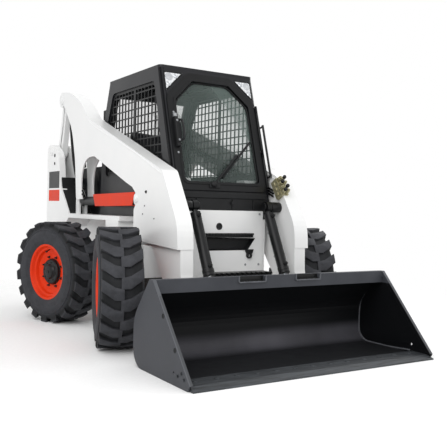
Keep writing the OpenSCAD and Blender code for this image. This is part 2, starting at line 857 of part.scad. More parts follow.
// orange channel over the lift barrel with slanted ends
module lift_guards() {
    guard_back = 394;
    guard_front = 1250;
    guard_low = -48;
    guard_top = 54;
    wall = slot_h - 4;
    placed() color("orangered") twin() translate([arm_x, 0, 0]) along(lift_base, lift_a) difference() {
        translate([0, wall, 0]) rotate([90, 0, 0]) linear_extrude(2 * wall) polygon([[guard_back, guard_top],
            [guard_back + 50, guard_low], [guard_front - 50, guard_low], [guard_front, guard_top]]);
        translate([guard_back - 4, 0, 0]) rotate([0, 90, 0]) cylinder(r = lift_r, h = 1000, $fn = fine);
        box([guard_back - 4, -lift_r, guard_low - 1], [guard_front + 10, lift_r, 0]);
    }
}

module lift_rods() {
    placed() color("silver") twin() translate([arm_x, 0, 0]) along(lift_base, lift_a)
        piston_rod(lift_rod_r, 90, lift_l, 38, 18);
}

module tilt_barrels() {
    placed() color("black") twin() translate([tilt_x, 0, 0]) along(tilt_base, tilt_a)
        barrel(tilt_r, tilt_rod_r, tilt_len);
}

module tilt_rods() {
    placed() color("silver") twin() translate([tilt_x, 0, 0]) along(tilt_base, tilt_a)
        piston_rod(tilt_rod_r, 190, tilt_l, 31, 15);
}

// the bucket's outer side: floor, round heel, back and slanted brow
module bucket_side() {
    polygon(soft([[-edge_y + 40, 0, 0], [-back_y, 0, heel_r], [bucket_knee[0], bucket_knee[1], knee_r],
        [brow[0], brow[1], 0], [brow[0] - rail_d, brow[1], 0], [-edge_y + 20, 34, 0]]));
}

// wrapped plate, top rail with two step slots, side plates with a stiffened front edge
module bucket_shell() {
    inner = bucket_w / 2 - cheek_t;
    rim_w = 34;
    knee_in = bucket_knee - bucket_t * [1, tan(knee_turn / 2)];
    placed() color("dimgray") {
        slab(-inner, inner) polygon(soft([[edge_back, 0, 0], [-back_y, 0, heel_r],
            [bucket_knee[0], bucket_knee[1], knee_r], [brow[0], brow[1], 0], [brow_in[0], brow_in[1], 0],
            [knee_in[0], knee_in[1], knee_r + bucket_t], [-back_y - bucket_t, bucket_t, heel_r - bucket_t],
            [edge_back, bucket_t, 0]]));
        difference() {
            slab(-inner, inner) polygon([[brow[0], brow[1]], [brow[0] - rail_d, brow[1]],
                [brow[0] - rail_d + 6, brow[1] - rail_h], [brow[0] + rail_h * tan(knee_turn) / 2, brow[1] - rail_h]]);
            for (x = step_holes) {
                box([x - step_slot / 2, brow[0] - rail_d - 1, brow[1] - 34], [x + step_slot / 2, brow[0] - 12, brow[1] + 1]);
                for (i = [0:4]) box([x - step_slot / 2 + 12 + 38 * i, brow[0] - rail_d - 1, brow[1] - 44],
                    [x - step_slot / 2 + 32 + 38 * i, brow[0] - 12, brow[1] - 33]);
            }
        }
        twin() difference() {
            union() {
                slab(inner, bucket_w / 2) bucket_side();
                slab(inner - cheek_t, inner + e) polygon([[brow[0] - rail_d, brow[1]], [-edge_y + 20, 34],
                    [-edge_y + 20 + rim_w, 34], [brow[0] - rail_d + rim_w, brow[1]]]);
            }
            rod_x(foot_hole, 9, inner - 20, bucket_w / 2 + 1);
        }
    }
}

module cutting_edge() {
    inner = bucket_w / 2 - cheek_t;
    placed() color("black") slab(-inner, inner) polygon([[-edge_y, 0], [edge_back, 0], [edge_back, edge_t],
        [-edge_y + 60, edge_t], [-edge_y, 8]]);
}

// plate and ears that carry the bucket on the boom's pins and the tilt rods
module hitch_plate() {
    plate_t = 20;
    ear_t = 26;
    fork = 34;
    fork_t = 16;
    front = -back_y + plate_t;
    placed() color("black") {
        box([-560, -back_y, heel_r], [560, front, 300]);
        twin() {
            for (x = [arm_in - 4 - ear_t, leg_out + 4]) slab(x, x + ear_t) {
                polygon([[front, 130], [front, 300], hitch + [20, 40], hitch + [20, -40]]);
                dot(hitch, 48);
            }
            rod_x(hitch, pin_r, arm_in - 5, leg_out + 5);
            for (s = [-1, 1]) slab(tilt_x + s * fork - fork_t / 2, tilt_x + s * fork + fork_t / 2) {
                polygon([[front, 150], [-back_y, 300], [front, 300], tilt_eye + [-30, 24], tilt_eye + [36, 0],
                    [-back_y + 60, 150]]);
                dot(tilt_eye, 38);
            }
        }
    }
}

module knuckle(side, axle) {
    placed() color("dimgray") corner(side, axle) {
        translate([0, 0, -yoke_h + 2]) cylinder(r = barrel_r, h = 2 * yoke_h - 4, $fn = fine);
        translate([0, 0, -yoke_h - yoke_t + 1]) cylinder(r = king_r, h = 2 * (yoke_h + yoke_t - 1), $fn = fine);
        rod_x([0, 0], barrel_r + 6, 0, disc_out - 14);
        rod_x([0, 0], flange_r, disc_out - 19, disc_out - 1);
    }
}

// stepped steel rim with its disc and middle drum
module rim(side, axle) {
    lip_x = tyre_w / 2 - lip_in;
    seat_x = lip_x - rim_t - 4;
    lip_r = rim_r + lip_h;
    well_r = rim_r - 26;
    placed() color("orangered") corner(side, axle) rotate([0, 90, 0]) rotate_extrude($fn = fine) polygon([
        [0, disc_out], [well_r - 40, disc_out], [well_r - 8, disc_out - 30], [well_r, disc_out - 30],
        [well_r, -lip_x], [lip_r, -lip_x], [lip_r, -lip_x + rim_t], [rim_r - 8, -seat_x], [rim_r - 8, seat_x],
        [lip_r, lip_x - rim_t], [lip_r, lip_x], [rim_r - 4, lip_x - 4], [rim_r - 16, lip_x - 26],
        [well_r - 6, lip_x - 32], [well_r - 14, disc_out + 26], [well_r - 46, disc_out + disc_t],
        [drum_r, disc_out + disc_t], [drum_r - 4, disc_out + disc_t + drum_h], [0, disc_out + disc_t + drum_h]]);
}

// round-shouldered tyre with bent lugs that meet in a chevron
module tyre(side, axle) {
    r = tyre_d / 2;
    s = tyre_w / 2;
    bead = rim_r + lip_h;
    lip_x = s - lip_in;
    profile = [[bead, lip_x - rim_t, 0], [bead, lip_x + 2, 6], [bead + 34, s - 2, 30], [r - 96, s, 60],
        [r - lug_h - 8, s - 26, 30], [r - lug_h, s - 90, 0]];
    flip = [for (i = [len(profile) - 1:-1:0]) [profile[i][0], -profile[i][1], profile[i][2]]];
    seat = [[rim_r - 8, -lip_x + rim_t + 4, 0], [rim_r - 8, lip_x - rim_t - 4, 0]];
    placed() color("black") corner(side, axle) {
        rotate([0, 90, 0]) rotate_extrude($fn = fine) polygon(soft(concat(seat, profile, flip)));
        intersection() {
            rod_x([0, 0], r, -s, s);
            union() for (i = [0:lug_n - 1]) for (m = [-1, 1]) rotate([(i + m / 4) * 360 / lug_n, 0, 0])
                translate([0, 0, r - lug_h - 34]) linear_extrude(lug_h + 40) polygon([
                    [-m * 10, -lug_w / 2 - lug_lag / 2], [m * s / 3, -lug_w / 2 - lug_lag / 2],
                    [m * (s - 14), -lug_w / 2 + lug_lag / 2 + 14], [m * (s - 14), lug_w / 2 + lug_lag / 2 - 14],
                    [m * s / 3, lug_w / 2 - lug_lag / 2 - 20], [-m * 10, lug_w / 2 - lug_lag / 2 - 34]]);
        }
    }
}

frame_sides();
frame_floors();
towers();
side_decks();
front_panel();
door_sill();
axles();
engine();
hood();
tail_lamps();
cab_frame();
cab_roof();
side_grilles();
rear_window();
cab_lamps();
seat_base();
seat_cushion();
seat_back();
controls();
grab_handle();
door_frame();
door_glass();
door_handle();
tailgate();
boom_arms();
boom_beams();
front_step();
tilt_pins();
coupler_block();
rear_links();
lift_barrels();
lift_guards();
lift_rods();
tilt_barrels();
tilt_rods();
bucket_shell();
cutting_edge();
hitch_plate();
knuckle(1, 0);  // knuckle_fl
knuckle(-1, 0);  // knuckle_fr
knuckle(1, 1);  // knuckle_rl
knuckle(-1, 1);  // knuckle_rr
rim(1, 0);  // rim_fl
rim(-1, 0);  // rim_fr
rim(1, 1);  // rim_rl
rim(-1, 1);  // rim_rr
tyre(1, 0);  // tyre_fl
tyre(-1, 0);  // tyre_fr
tyre(1, 1);  // tyre_rl
tyre(-1, 1);  // tyre_rr
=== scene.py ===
import bpy
import bmesh
import json
import math
from mathutils import Matrix, Vector


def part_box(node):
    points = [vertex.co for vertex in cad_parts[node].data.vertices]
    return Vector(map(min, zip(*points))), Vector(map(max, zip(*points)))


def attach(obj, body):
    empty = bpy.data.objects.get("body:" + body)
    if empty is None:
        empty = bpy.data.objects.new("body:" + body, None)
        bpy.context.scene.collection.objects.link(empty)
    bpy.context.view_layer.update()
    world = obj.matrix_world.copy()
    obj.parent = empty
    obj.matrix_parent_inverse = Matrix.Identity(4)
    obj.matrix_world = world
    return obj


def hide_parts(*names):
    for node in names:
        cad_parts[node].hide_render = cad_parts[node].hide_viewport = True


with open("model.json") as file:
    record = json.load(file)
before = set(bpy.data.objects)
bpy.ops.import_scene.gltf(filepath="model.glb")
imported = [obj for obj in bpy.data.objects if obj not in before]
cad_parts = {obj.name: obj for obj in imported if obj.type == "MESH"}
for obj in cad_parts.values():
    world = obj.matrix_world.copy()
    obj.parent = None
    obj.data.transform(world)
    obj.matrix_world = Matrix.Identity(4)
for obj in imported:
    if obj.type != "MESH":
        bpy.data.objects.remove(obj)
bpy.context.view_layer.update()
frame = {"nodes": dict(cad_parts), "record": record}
nodes = frame["nodes"]
scene = bpy.context.scene
print("frame loaded:", len(nodes), "nodes")

# the front axle is the zero of every place below, in millimetres
lowTyre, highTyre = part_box("tyre_fl")
lowOther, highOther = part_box("tyre_fr")
axleY = (lowTyre.y + highTyre.y + lowOther.y + highOther.y) / 4


def place(x, y, z):
    return Vector((x / 1000, axleY + y / 1000, z / 1000))


def toLinear(hexColour):
    channels = [int(hexColour[i:i + 2], 16) / 255 for i in (1, 3, 5)]
    return [c / 12.92 if c <= 0.04045 else ((c + 0.055) / 1.055) ** 2.4 for c in channels] + [1.0]


# camera solved from the photo's wheels, bucket, cab and arms
view = {
    "place": (-2.723, -4.915, 0.985),   # metres
    "azimuth": 32.04,
    "elevation": 1.27,                  # looking slightly down
    "roll": 1.3,
    "lens": 55.27,                      # on a 36 mm square sensor
}
az, el, roll = (math.radians(view[k]) for k in ("azimuth", "elevation", "roll"))
ahead = Vector((math.sin(az) * math.cos(el), math.cos(az) * math.cos(el), -math.sin(el)))
side = Vector((math.cos(az), -math.sin(az), 0))
up = side.cross(ahead)
right = math.cos(roll) * side + math.sin(roll) * up
top = -math.sin(roll) * side + math.cos(roll) * up
cameraData = bpy.data.cameras.new("camera")
cameraData.lens = view["lens"]
cameraData.sensor_width = 36
cameraData.clip_end = 100
camera = bpy.data.objects.new("camera", cameraData)
camera.matrix_world = Matrix.Translation(view["place"]) @ Matrix((right, top, -ahead)).transposed().to_4x4()
scene.collection.objects.link(camera)
scene.camera = camera


# sockets by name or number, a socket as value makes a link
def setSockets(tree, node, sockets):
    for name, value in sockets.items():
        if isinstance(value, bpy.types.NodeSocket):
            tree.links.new(value, node.inputs[name])
        else:
            node.inputs[name].default_value = value


def addNode(tree, kind, attributes={}, sockets={}):
    node = tree.nodes.new(kind)
    for name, value in attributes.items():
        setattr(node, name, value)
    setSockets(tree, node, sockets)
    return node


def startMaterial(name):
    material = bpy.data.materials.new(name)
    material.use_nodes = True
    tree = material.node_tree
    where = addNode(tree, "ShaderNodeTexCoord").outputs["Object"]
    return material, tree, tree.nodes["Principled BSDF"], where


# each of these adds one node and gives its output
def ramp(tree, factor, stops):
    node = addNode(tree, "ShaderNodeValToRGB", sockets={0: factor})
    for i, (at, colour) in enumerate(stops):
        stop = node.color_ramp.elements[i]
        stop.position = at
        stop.color = toLinear(colour)
    return node.outputs["Color"]


def calc(tree, operation, first, second=0.0):
    return addNode(tree, "ShaderNodeMath", {"operation": operation}, {0: first, 1: second}).outputs[0]


def onVectors(tree, operation, first, second=(0, 0, 0), output="Value"):
    node = addNode(tree, "ShaderNodeVectorMath", {"operation": operation}, {0: first, 1: second})
    return node.outputs[output]


def blend(tree, factor, first, second):
    first, second = (toLinear(c) if isinstance(c, str) else c for c in (first, second))
    node = addNode(tree, "ShaderNodeMix", {"data_type": "RGBA"}, {"Factor": factor, 6: first, 7: second})
    return node.outputs[2]


def noise(tree, where, sizeMm, detail, roughness=0.5):
    sockets = {"Vector": where, "Scale": 1000 / sizeMm, "Detail": detail, "Roughness": roughness}
    return addNode(tree, "ShaderNodeTexNoise", sockets=sockets).outputs["Fac"]


def remap(tree, value, start, end, low=0.0, high=1.0, kind="LINEAR"):
    sockets = {"Value": value, "From Min": start, "From Max": end, "To Min": low, "To Max": high}
    return addNode(tree, "ShaderNodeMapRange", {"interpolation_type": kind}, sockets).outputs["Result"]


def bump(tree, height, strength, depth):
    sockets = {"Height": height, "Strength": strength, "Distance": depth}
    return addNode(tree, "ShaderNodeBump", sockets=sockets).outputs["Normal"]


# sprayed steel: even colour with faint clouds, a little dust low down, orange peel in the gloss
# real peel is 1 to 3 mm across; peelMm is drawn coarser so that it shows
spray = {"streakMm": 45.45, "ior": 1.5, "coatRoughness": 0.12, "peelDepth": 0.001}


def sprayedSteel(name, spec):
    material, tree, shader, where = startMaterial(name)
    clouds = noise(tree, where, spec["cloudMm"], 5.0, 0.6)
    tone = ramp(tree, clouds, [(0.3, spec["low"]), (0.7, spec["high"])])
    height = addNode(tree, "ShaderNodeSeparateXYZ", sockets={0: where}).outputs["Z"]
    nearGround = remap(tree, height, spec["dustTop"], 0.0, 0.0, spec["dust"])
    dusty = calc(tree, "MULTIPLY", nearGround, noise(tree, where, spray["streakMm"], 8.0))
    peel = noise(tree, where, spec["peelMm"], 2.0)
    setSockets(tree, shader, {
        "Base Color": blend(tree, dusty, tone, spec["soil"]),
        "Roughness": remap(tree, clouds, 0.3, 0.7, spec["gloss"], spec["gloss"] + 0.1),
        "Normal": bump(tree, peel, spec["peel"], spray["peelDepth"]),
        "IOR": spray["ior"], "Specular IOR Level": spec["shine"],
        "Coat Weight": spec["coat"], "Coat Roughness": spray["coatRoughness"]})
    return material


paints = {
    # polyester powder coat on sheet steel: bright, almost clean, soft gloss
    "whitePowderCoat": {"low": "#ECEDED", "high": "#F3F3F2", "soil": "#C2B9AA", "dust": 0.16, "dustTop": 0.6,
                        "cloudMm": 600, "gloss": 0.3, "peelMm": 9, "peel": 0.05, "shine": 0.45, "coat": 0.2},
    # two-pack gloss on the cab: near black, with bright lines where edges catch the light
    "charcoalTexturePaint": {"low": "#131417", "high": "#1A1B1F", "soil": "#4C4740", "dust": 0.1,
                             "dustTop": 0.9, "cloudMm": 300, "gloss": 0.3, "peelMm": 4, "peel": 0.12,
                             "shine": 0.3, "coat": 0.0},
    # enamel on guards, rims and film: strong orange-red, hardly any veil of gloss
    "orangeEnamel": {"low": "#DA3208", "high": "#E53A0E", "soil": "#7A4A36", "dust": 0.2, "dustTop": 0.5,
                     "cloudMm": 140, "gloss": 0.42, "peelMm": 6, "peel": 0.06, "shine": 0.18, "coat": 0.0},
    # black chassis enamel on frames and cylinders: deep with a soft highlight
    "blackChassisEnamel": {"low": "#0D0E0F", "high": "#141517", "soil": "#403C36", "dust": 0.15,
                           "dustTop": 0.9, "cloudMm": 160, "gloss": 0.32, "peelMm": 5, "peel": 0.08,
                           "shine": 0.25, "coat": 0.0},
    # dipped bucket paint: dark blue-grey, slightly chalky; paler along the heel, rubbed by loading and with a
    # painted reflection there
    "dippedBucketPaint": {"low": "#3B3D42", "high": "#45474C", "soil": "#55504A", "dust": 0.1, "dustTop": 0.4,
                          "cloudMm": 220, "gloss": 0.4, "peelMm": 7, "peel": 0.12, "shine": 0.17,
                          "coat": 0.0},
    # thin paint over the weld beads: paler, the ripples show
    "thinWeldPaint": {"low": "#4E5055", "high": "#626469", "soil": "#55504A", "dust": 0.1, "dustTop": 0.4,
                      "cloudMm": 30, "gloss": 0.45, "peelMm": 4, "peel": 0.2, "shine": 0.3, "coat": 0.0},
    # cast iron under thin black paint: dull and grainy
    "paintedCastIron": {"low": "#141517", "high": "#1F2022", "soil": "#5A5248", "dust": 0.5, "dustTop": 0.9,
                        "cloudMm": 90, "gloss": 0.6, "peelMm": 3, "peel": 0.5, "shine": 0.25, "coat": 0.0},
}
finish = {name: sprayedSteel(name, spec) for name, spec in paints.items()}

# the bucket's coat again: painted shade makes the inside nearly black, lighter on faces that look up as
# painted light; a pale band along the heel is a painted reflection over real rubbing, and the side plates'
# front rims are paler where they face forward and up, a painted highlight over real edge wear cheek, rail and
# rim bound the inside, in metres; heel is the pale band's middle, in mm from the front axle
# inward, level, curved and rimFacing say how far a face has to look that way
coat = {"cheek": 0.932, "rail": 0.4705, "rim": 0.9155, "rimWay": (0, -0.745, 0.667), "rimWearAndSheen": 0.4,
        "heel": (-592, 74), "heelWide": 0.105, "heelCore": 0.03, "loadMm": 625, "inWay": (0, -0.7, 0.7),
        "inward": -0.25, "level": 0.7, "curved": 0.3, "rimFacing": (0.8, 0.97),
        "inside": "#0F1012", "floor": "#1C1D1F", "wearAndSheen": "#66656C", "rimTone": "#717377"}


def coatBucket():
    tree = finish["dippedBucketPaint"].node_tree
    shader = tree.nodes["Principled BSDF"]
    base = shader.inputs["Base Color"].links[0].from_socket
    coords = addNode(tree, "ShaderNodeTexCoord")
    where, normal = coords.outputs["Object"], coords.outputs["Normal"]
    spot = addNode(tree, "ShaderNodeSeparateXYZ", sockets={0: where})
    across = calc(tree, "ABSOLUTE", spot.outputs["X"])
    between = calc(tree, "LESS_THAN", across, coat["cheek"])
    belowRail = calc(tree, "LESS_THAN", spot.outputs["Z"], coat["rail"])
    facing = onVectors(tree, "DOT_PRODUCT", normal, coat["inWay"])
    inward = calc(tree, "GREATER_THAN", facing, coat["inward"])
    # painted shade: the inside goes nearly black, and faces that look up get the lighter floor tone as
    # painted light
    hollowShade = calc(tree, "MULTIPLY", calc(tree, "MULTIPLY", between, belowRail), inward)
    level = remap(tree, onVectors(tree, "DOT_PRODUCT", normal, (0, 0, 1)), coat["level"], 1.0)
    dark = blend(tree, hollowShade, base, blend(tree, level, coat["inside"], coat["floor"]))
    # a pale band along the heel: painted reflection over real rubbing from loads
    flat = onVectors(tree, "MULTIPLY", where, (0, 1, 1), "Vector")
    away = onVectors(tree, "DISTANCE", flat, place(0, *coat["heel"]))
    near = remap(tree, away, coat["heelWide"], coat["heelCore"], kind="SMOOTHSTEP")
    wearAndSheen = calc(tree, "MULTIPLY", near, noise(tree, where, coat["loadMm"], 6.0))
    curved = calc(tree, "GREATER_THAN", facing, coat["curved"])
    heel = blend(tree, calc(tree, "MULTIPLY", wearAndSheen, curved), dark, coat["wearAndSheen"])
    # the side plates' front rims are paler on faces that look forward and up: painted highlight over real
    # edge wear
    ahead = onVectors(tree, "DOT_PRODUCT", normal, coat["rimWay"])
    front = remap(tree, ahead, *coat["rimFacing"], 0.0, coat["rimWearAndSheen"])
    rim = calc(tree, "MULTIPLY", front, calc(tree, "GREATER_THAN", across, coat["rim"]))
    setSockets(tree, shader, {"Base Color": blend(tree, rim, heel, coat["rimTone"])})


coatBucket()

# carbon-black rubber: dark grey in soft patches, fine mould grain, drawn coarser than it is so that it shows
rubber = {"patchMm": 111.1, "grain": 0.35, "grainDepth": 0.002, "specular": 0.25}


def mouldedRubber(name, low, high, grainMm, roughness):
    material, tree, shader, where = startMaterial(name)
    patches = noise(tree, where, rubber["patchMm"], 9.0, 0.65)
    grain = noise(tree, where, grainMm, 4.0)
    setSockets(tree, shader, {
        "Base Color": ramp(tree, patches, [(0.3, low), (0.75, high)]), "Roughness": roughness,
        "Normal": bump(tree, grain, rubber["grain"], rubber["grainDepth"]),
        "Specular IOR Level": rubber["specular"]})
    return material


# tyre compound: black in the grooves, grey on the lugs' tops and on a ring of the side wall: dust and
# rubbing, with a painted highlight there too
# radii in metres; the wheels rest steered, front and rear opposite ways
tread = {"wearMm": 62.5, "radius": 0.42, "grooves": 0.398, "carcass": 0.384, "wall": 0.355, "steer": 17.5,
         "turns": {"fl": -1, "fr": -1, "rl": 1, "rr": 1}, "lugTone": "#4D4E53", "wallTone": "#46474C"}


def tyreCompound(corner):
    material = mouldedRubber("tyreRubber_" + corner, "#111214", "#1F2022", 6, 0.7)
    tree = material.node_tree
    shader = tree.nodes["Principled BSDF"]
    base = shader.inputs["Base Color"].links[0].from_socket
    low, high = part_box("tyre_" + corner)
    middle = (low + high) / 2
    where = addNode(tree, "ShaderNodeTexCoord").outputs["Object"]
    steered = addNode(tree, "ShaderNodeVectorRotate", {"rotation_type": "Z_AXIS"},
                      {"Vector": where, "Center": middle,
                       "Angle": -math.radians(tread["steer"]) * tread["turns"][corner]})
    fromHub = onVectors(tree, "SUBTRACT", steered.outputs["Vector"], middle, "Vector")
    reach = onVectors(tree, "LENGTH", onVectors(tree, "MULTIPLY", fromHub, (0, 1, 1), "Vector"))
    wear = noise(tree, where, tread["wearMm"], 8.0, 0.7)
    # the lugs' tops and a ring of the side wall are painted paler: real dust and rubbing, and a painted
    # highlight
    wearAndSheen = calc(tree, "MULTIPLY", remap(tree, reach, tread["grooves"], tread["radius"]), wear)
    dustAndSheen = calc(tree, "MULTIPLY", remap(tree, reach, tread["carcass"], tread["wall"]), wear)
    lugs = blend(tree, wearAndSheen, base, tread["lugTone"])
    setSockets(tree, shader, {"Base Color": blend(tree, dustAndSheen, lugs, tread["wallTone"])})
    return material


for corner in tread["turns"]:
    finish["tyreRubber_" + corner] = tyreCompound(corner)
finish["tyreRubber"] = mouldedRubber("tyreRubber", "#2A2B2E", "#3C3D42", 6, 0.66)
finish["sealRubber"] = mouldedRubber("sealRubber", "#101112", "#191A1B", 3, 0.6)
# injection-moulded ABS, spark-eroded grain: black, even, slightly grey at glancing light
finish["blackAbs"] = mouldedRubber("blackAbs", "#131415", "#1B1C1E", 2, 0.48)
# woven and vinyl seat cover: black with a soft grain
finish["grainedVinyl"] = mouldedRubber("grainedVinyl", "#15161A", "#222329", 4, 0.55)


# bare or plated metal: base colour, drawn or worn marks along one way
def bareMetal(name, spec):
    material, tree, shader, where = startMaterial(name)
    stretched = addNode(tree, "ShaderNodeMapping", sockets={"Vector": where, "Scale": spec["stretch"]})
    marks = noise(tree, stretched.outputs["Vector"], spec["markMm"], 6.0)
    setSockets(tree, shader, {
        "Base Color": ramp(tree, marks, [(0.3, spec["low"]), (0.72, spec["high"])]),
        "Roughness": remap(tree, marks, 0.0, 1.0, spec["rough"], spec["rough"] + 0.2),
        "Normal": bump(tree, marks, spec["bump"], 0.001), "Metallic": spec["metallic"]})
    return material


metals = {
    # hard chrome on ground rod: mirror with fine rings
    "hardChrome": {"low": "#B9BCC0", "high": "#D6D8DA", "stretch": (1, 1, 1), "markMm": 30, "rough": 0.1,
                   "bump": 0.02, "metallic": 1.0},
    # yellow-passivated steel fittings: pale olive brass with dark recesses
    "passivatedFitting": {"low": "#8A8464", "high": "#CFC9A8", "stretch": (1, 1, 1), "markMm": 12,
                          "rough": 0.34, "bump": 0.1, "metallic": 0.7},
    # zinc-plated bolts: pale grey
    "zincPlate": {"low": "#8E9194", "high": "#B9BBBD", "stretch": (1, 1, 1), "markMm": 8, "rough": 0.35,
                  "bump": 0.08, "metallic": 0.9},
    # quenched blade steel: dark mill scale rubbed bright in streaks towards the edge
    "wornBladeSteel": {"low": "#202225", "high": "#4C5054", "stretch": (0.3, 3, 3), "markMm": 40,
                       "rough": 0.46, "bump": 0.25, "metallic": 0.4},
}
for name, spec in metals.items():
    finish[name] = bareMetal(name, spec)


# lamp lens: clear moulded plastic over a bright reflector, with a prism grid
def lampLens(name, colour, gridMm):
    material, tree, shader, where = startMaterial(name)
    prisms = addNode(tree, "ShaderNodeTexVoronoi", {"distance": "CHEBYCHEV"},
                     {"Vector": where, "Scale": 1000 / gridMm, "Randomness": 0.0}).outputs["Distance"]
    setSockets(tree, shader, {
        "Base Color": ramp(tree, prisms, [(0.0, colour[0]), (0.8, colour[1])]), "Roughness": 0.12,
        "Normal": bump(tree, prisms, 0.6, 0.004), "Coat Weight": 0.5, "Coat Roughness": 0.04})
    return material


finish["clearLens"] = lampLens("clearLens", ("#FFFFFF", "#C9CDD2"), 14)
finish["redLens"] = lampLens("redLens", ("#B5120E", "#6A0707"), 12)

# tempered cab glass: nearly clear, faint green-grey, mirror-like at a glancing angle; its pale grey-green
# veil, thicker at a glancing angle, is a painted reflection that also lightens the cab behind it
pane = {"tint": "#7A8984", "clear": 0.09, "glancing": 0.75, "glance": 0.35, "haze": 0.06, "hazeMm": 333.3,
        "ior": 1.52, "roughness": 0.03}


def temperedGlass(name):
    material, tree, shader, where = startMaterial(name)
    glance = addNode(tree, "ShaderNodeLayerWeight", sockets={"Blend": pane["glance"]}).outputs["Fresnel"]
    cover = remap(tree, glance, 0.0, 1.0, pane["clear"], pane["glancing"])
    haze = noise(tree, where, pane["hazeMm"], 4.0)
    film = addNode(tree, "ShaderNodeMath", {"operation": "MULTIPLY_ADD"},
                   {0: haze, 1: pane["haze"], 2: cover})
    # the pale base colour shows wherever the glass is not clear: painted reflection
    setSockets(tree, shader, {"Base Color": toLinear(pane["tint"]), "Roughness": pane["roughness"],
                              "Alpha": film.outputs[0], "IOR": pane["ior"]})
    return material


finish["temperedGlass"] = temperedGlass("temperedGlass")
print("materials:", len(finish))

# which finish each CAD node wears, and how wide its edges are broken, in millimetres
slotFinish = {"white_paint": "whitePowderCoat", "charcoal_paint": "charcoalTexturePaint",
              "orange_paint": "orangeEnamel", "black_steel": "blackChassisEnamel",
              "bucket_paint": "dippedBucketPaint", "worn_steel": "wornBladeSteel",
              "cast_iron": "paintedCastIron", "chrome_rod": "hardChrome", "black_plastic": "blackAbs",
              "seat_cover": "grainedVinyl", "brass": "passivatedFitting", "red_lens": "redLens",
              "clear_lens": "clearLens", "glass": "temperedGlass", "tyre": "tyreRubber"}
brokenEdges = {"boom_arms": 5, "towers": 6, "side_decks": 4, "front_panel": 3, "cab_frame": 4, "cab_roof": 7,
               "frame_sides": 3, "hood": 5, "tailgate": 4, "door_frame": 2.5, "door_sill": 3,
               "hitch_plate": 3, "bucket_shell": 2, "cutting_edge": 2, "rear_links": 4, "boom_beams": 3,
               "lift_guards": 2.5, "coupler_block": 3, "front_step": 2, "tilt_pins": 2, "tail_lamps": 2,
               "seat_base": 4, "frame_floors": 3, "axles": 2, "tyre_fl": 4, "tyre_fr": 4, "tyre_rl": 4,
               "tyre_rr": 4}
# degrees above which an edge is broken, or shaded sharp; CAD points closer than weldMm are joined first
sharpest = {"cad": 35, "piece": 40, "shading": 35, "weldMm": 0.02}


def breakEdges(solid, width, angle):
    bevel = solid.modifiers.new("brokenEdge", "BEVEL")
    bevel.width = width
    bevel.segments = 2
    bevel.limit_method = "ANGLE"
    bevel.angle_limit = math.radians(angle)
    bevel.harden_normals = True


nodeSlots = {row["node"]: row["material_slot"] for row in frame["record"]["subparts"]}
for name, solid in nodes.items():
    solid.data.materials.clear()
    coating = "tyreRubber" + name[4:] if name.startswith("tyre_") else slotFinish[nodeSlots[name]]
    solid.data.materials.append(finish[coating])
    if name in brokenEdges:
        weld = solid.modifiers.new("weld", "WELD")
        weld.merge_threshold = sharpest["weldMm"] / 1000
        breakEdges(solid, brokenEdges[name] / 1000, sharpest["cad"])
print("CAD nodes dressed")


# mesh makers: each adds to a bmesh, in the frame that its matrix gives
def addTurned(bm, profile, matrix, steps=48, hoop=False):
    rings = []
    for along, radius in profile:
        if radius < 1e-6:
            rings.append([bm.verts.new(matrix @ Vector((along, 0, 0)))])
            continue
        angles = [2 * math.pi * i / steps for i in range(steps)]
        rings.append([bm.verts.new(matrix @ Vector((along, radius * math.cos(a), radius * math.sin(a))))
                      for a in angles])
    for first, second in zip(rings, rings[1:] + rings[:1] if hoop else rings[1:]):
        for i in range(steps):
            j = (i + 1) % steps
            corners = [first[i % len(first)], first[j % len(first)], second[j % len(second)],
                       second[i % len(second)]]
            unique = list(dict.fromkeys(corners))
            if len(unique) > 2:
                bm.faces.new(unique)
    for ring in () if hoop else (rings[0], rings[-1]):
        if len(ring) > 1:
            bm.faces.new(ring)


def addPrism(bm, outline, low, high, matrix):
    floor = [bm.verts.new(matrix @ Vector((u, v, low))) for u, v in outline]
    roof = [bm.verts.new(matrix @ Vector((u, v, high))) for u, v in outline]
    bm.faces.new(floor)
    bm.faces.new(roof)
    for i in range(len(outline)):
        j = (i + 1) % len(outline)
        bm.faces.new((floor[i], floor[j], roof[j], roof[i]))


def addBlock(bm, low, high, matrix):
    addPrism(bm, [(low[0], low[1]), (high[0], low[1]), (high[0], high[1]), (low[0], high[1])],
             low[2], high[2], matrix)


def roundPath(points, radius, steps=6):
    path = [points[0]]
    for before, corner, after in zip(points, points[1:], points[2:]):
        back = (before - corner).normalized() * min(radius, (before - corner).length * 0.49)
        forth = (after - corner).normalized() * min(radius, (after - corner).length * 0.49)
        for i in range(steps + 1):
            t = i / steps
            path.append(corner + back * (1 - t) ** 2 + forth * t ** 2)
    path.append(points[-1])
    return path


def addTube(bm, path, radius, sides=12, closed=False):
    count = len(path)
    rings = []
    across = None
    for i, point in enumerate(path):
        before = path[(i - 1) % count] if closed or i else point
        after = path[(i + 1) % count] if closed or i < count - 1 else point
        way = (after - before).normalized()
        if across is None:
            across = way.orthogonal().normalized()
        across = (across - way * across.dot(way)).normalized()
        other = way.cross(across)
        rings.append([bm.verts.new(point + radius * (math.cos(a) * across + math.sin(a) * other))
                      for a in (2 * math.pi * k / sides for k in range(sides))])
    pairs = list(zip(rings, rings[1:])) + ([(rings[-1], rings[0])] if closed else [])
    for first, second in pairs:
        for k in range(sides):
            m = (k + 1) % sides
            bm.faces.new((first[k], first[m], second[m], second[k]))
    if not closed:
        bm.faces.new(rings[0])
        bm.faces.new(rings[-1])


def turnTo(at, way):
    return Matrix.Translation(at) @ Vector((1, 0, 0)).rotation_difference(way).to_matrix().to_4x4()


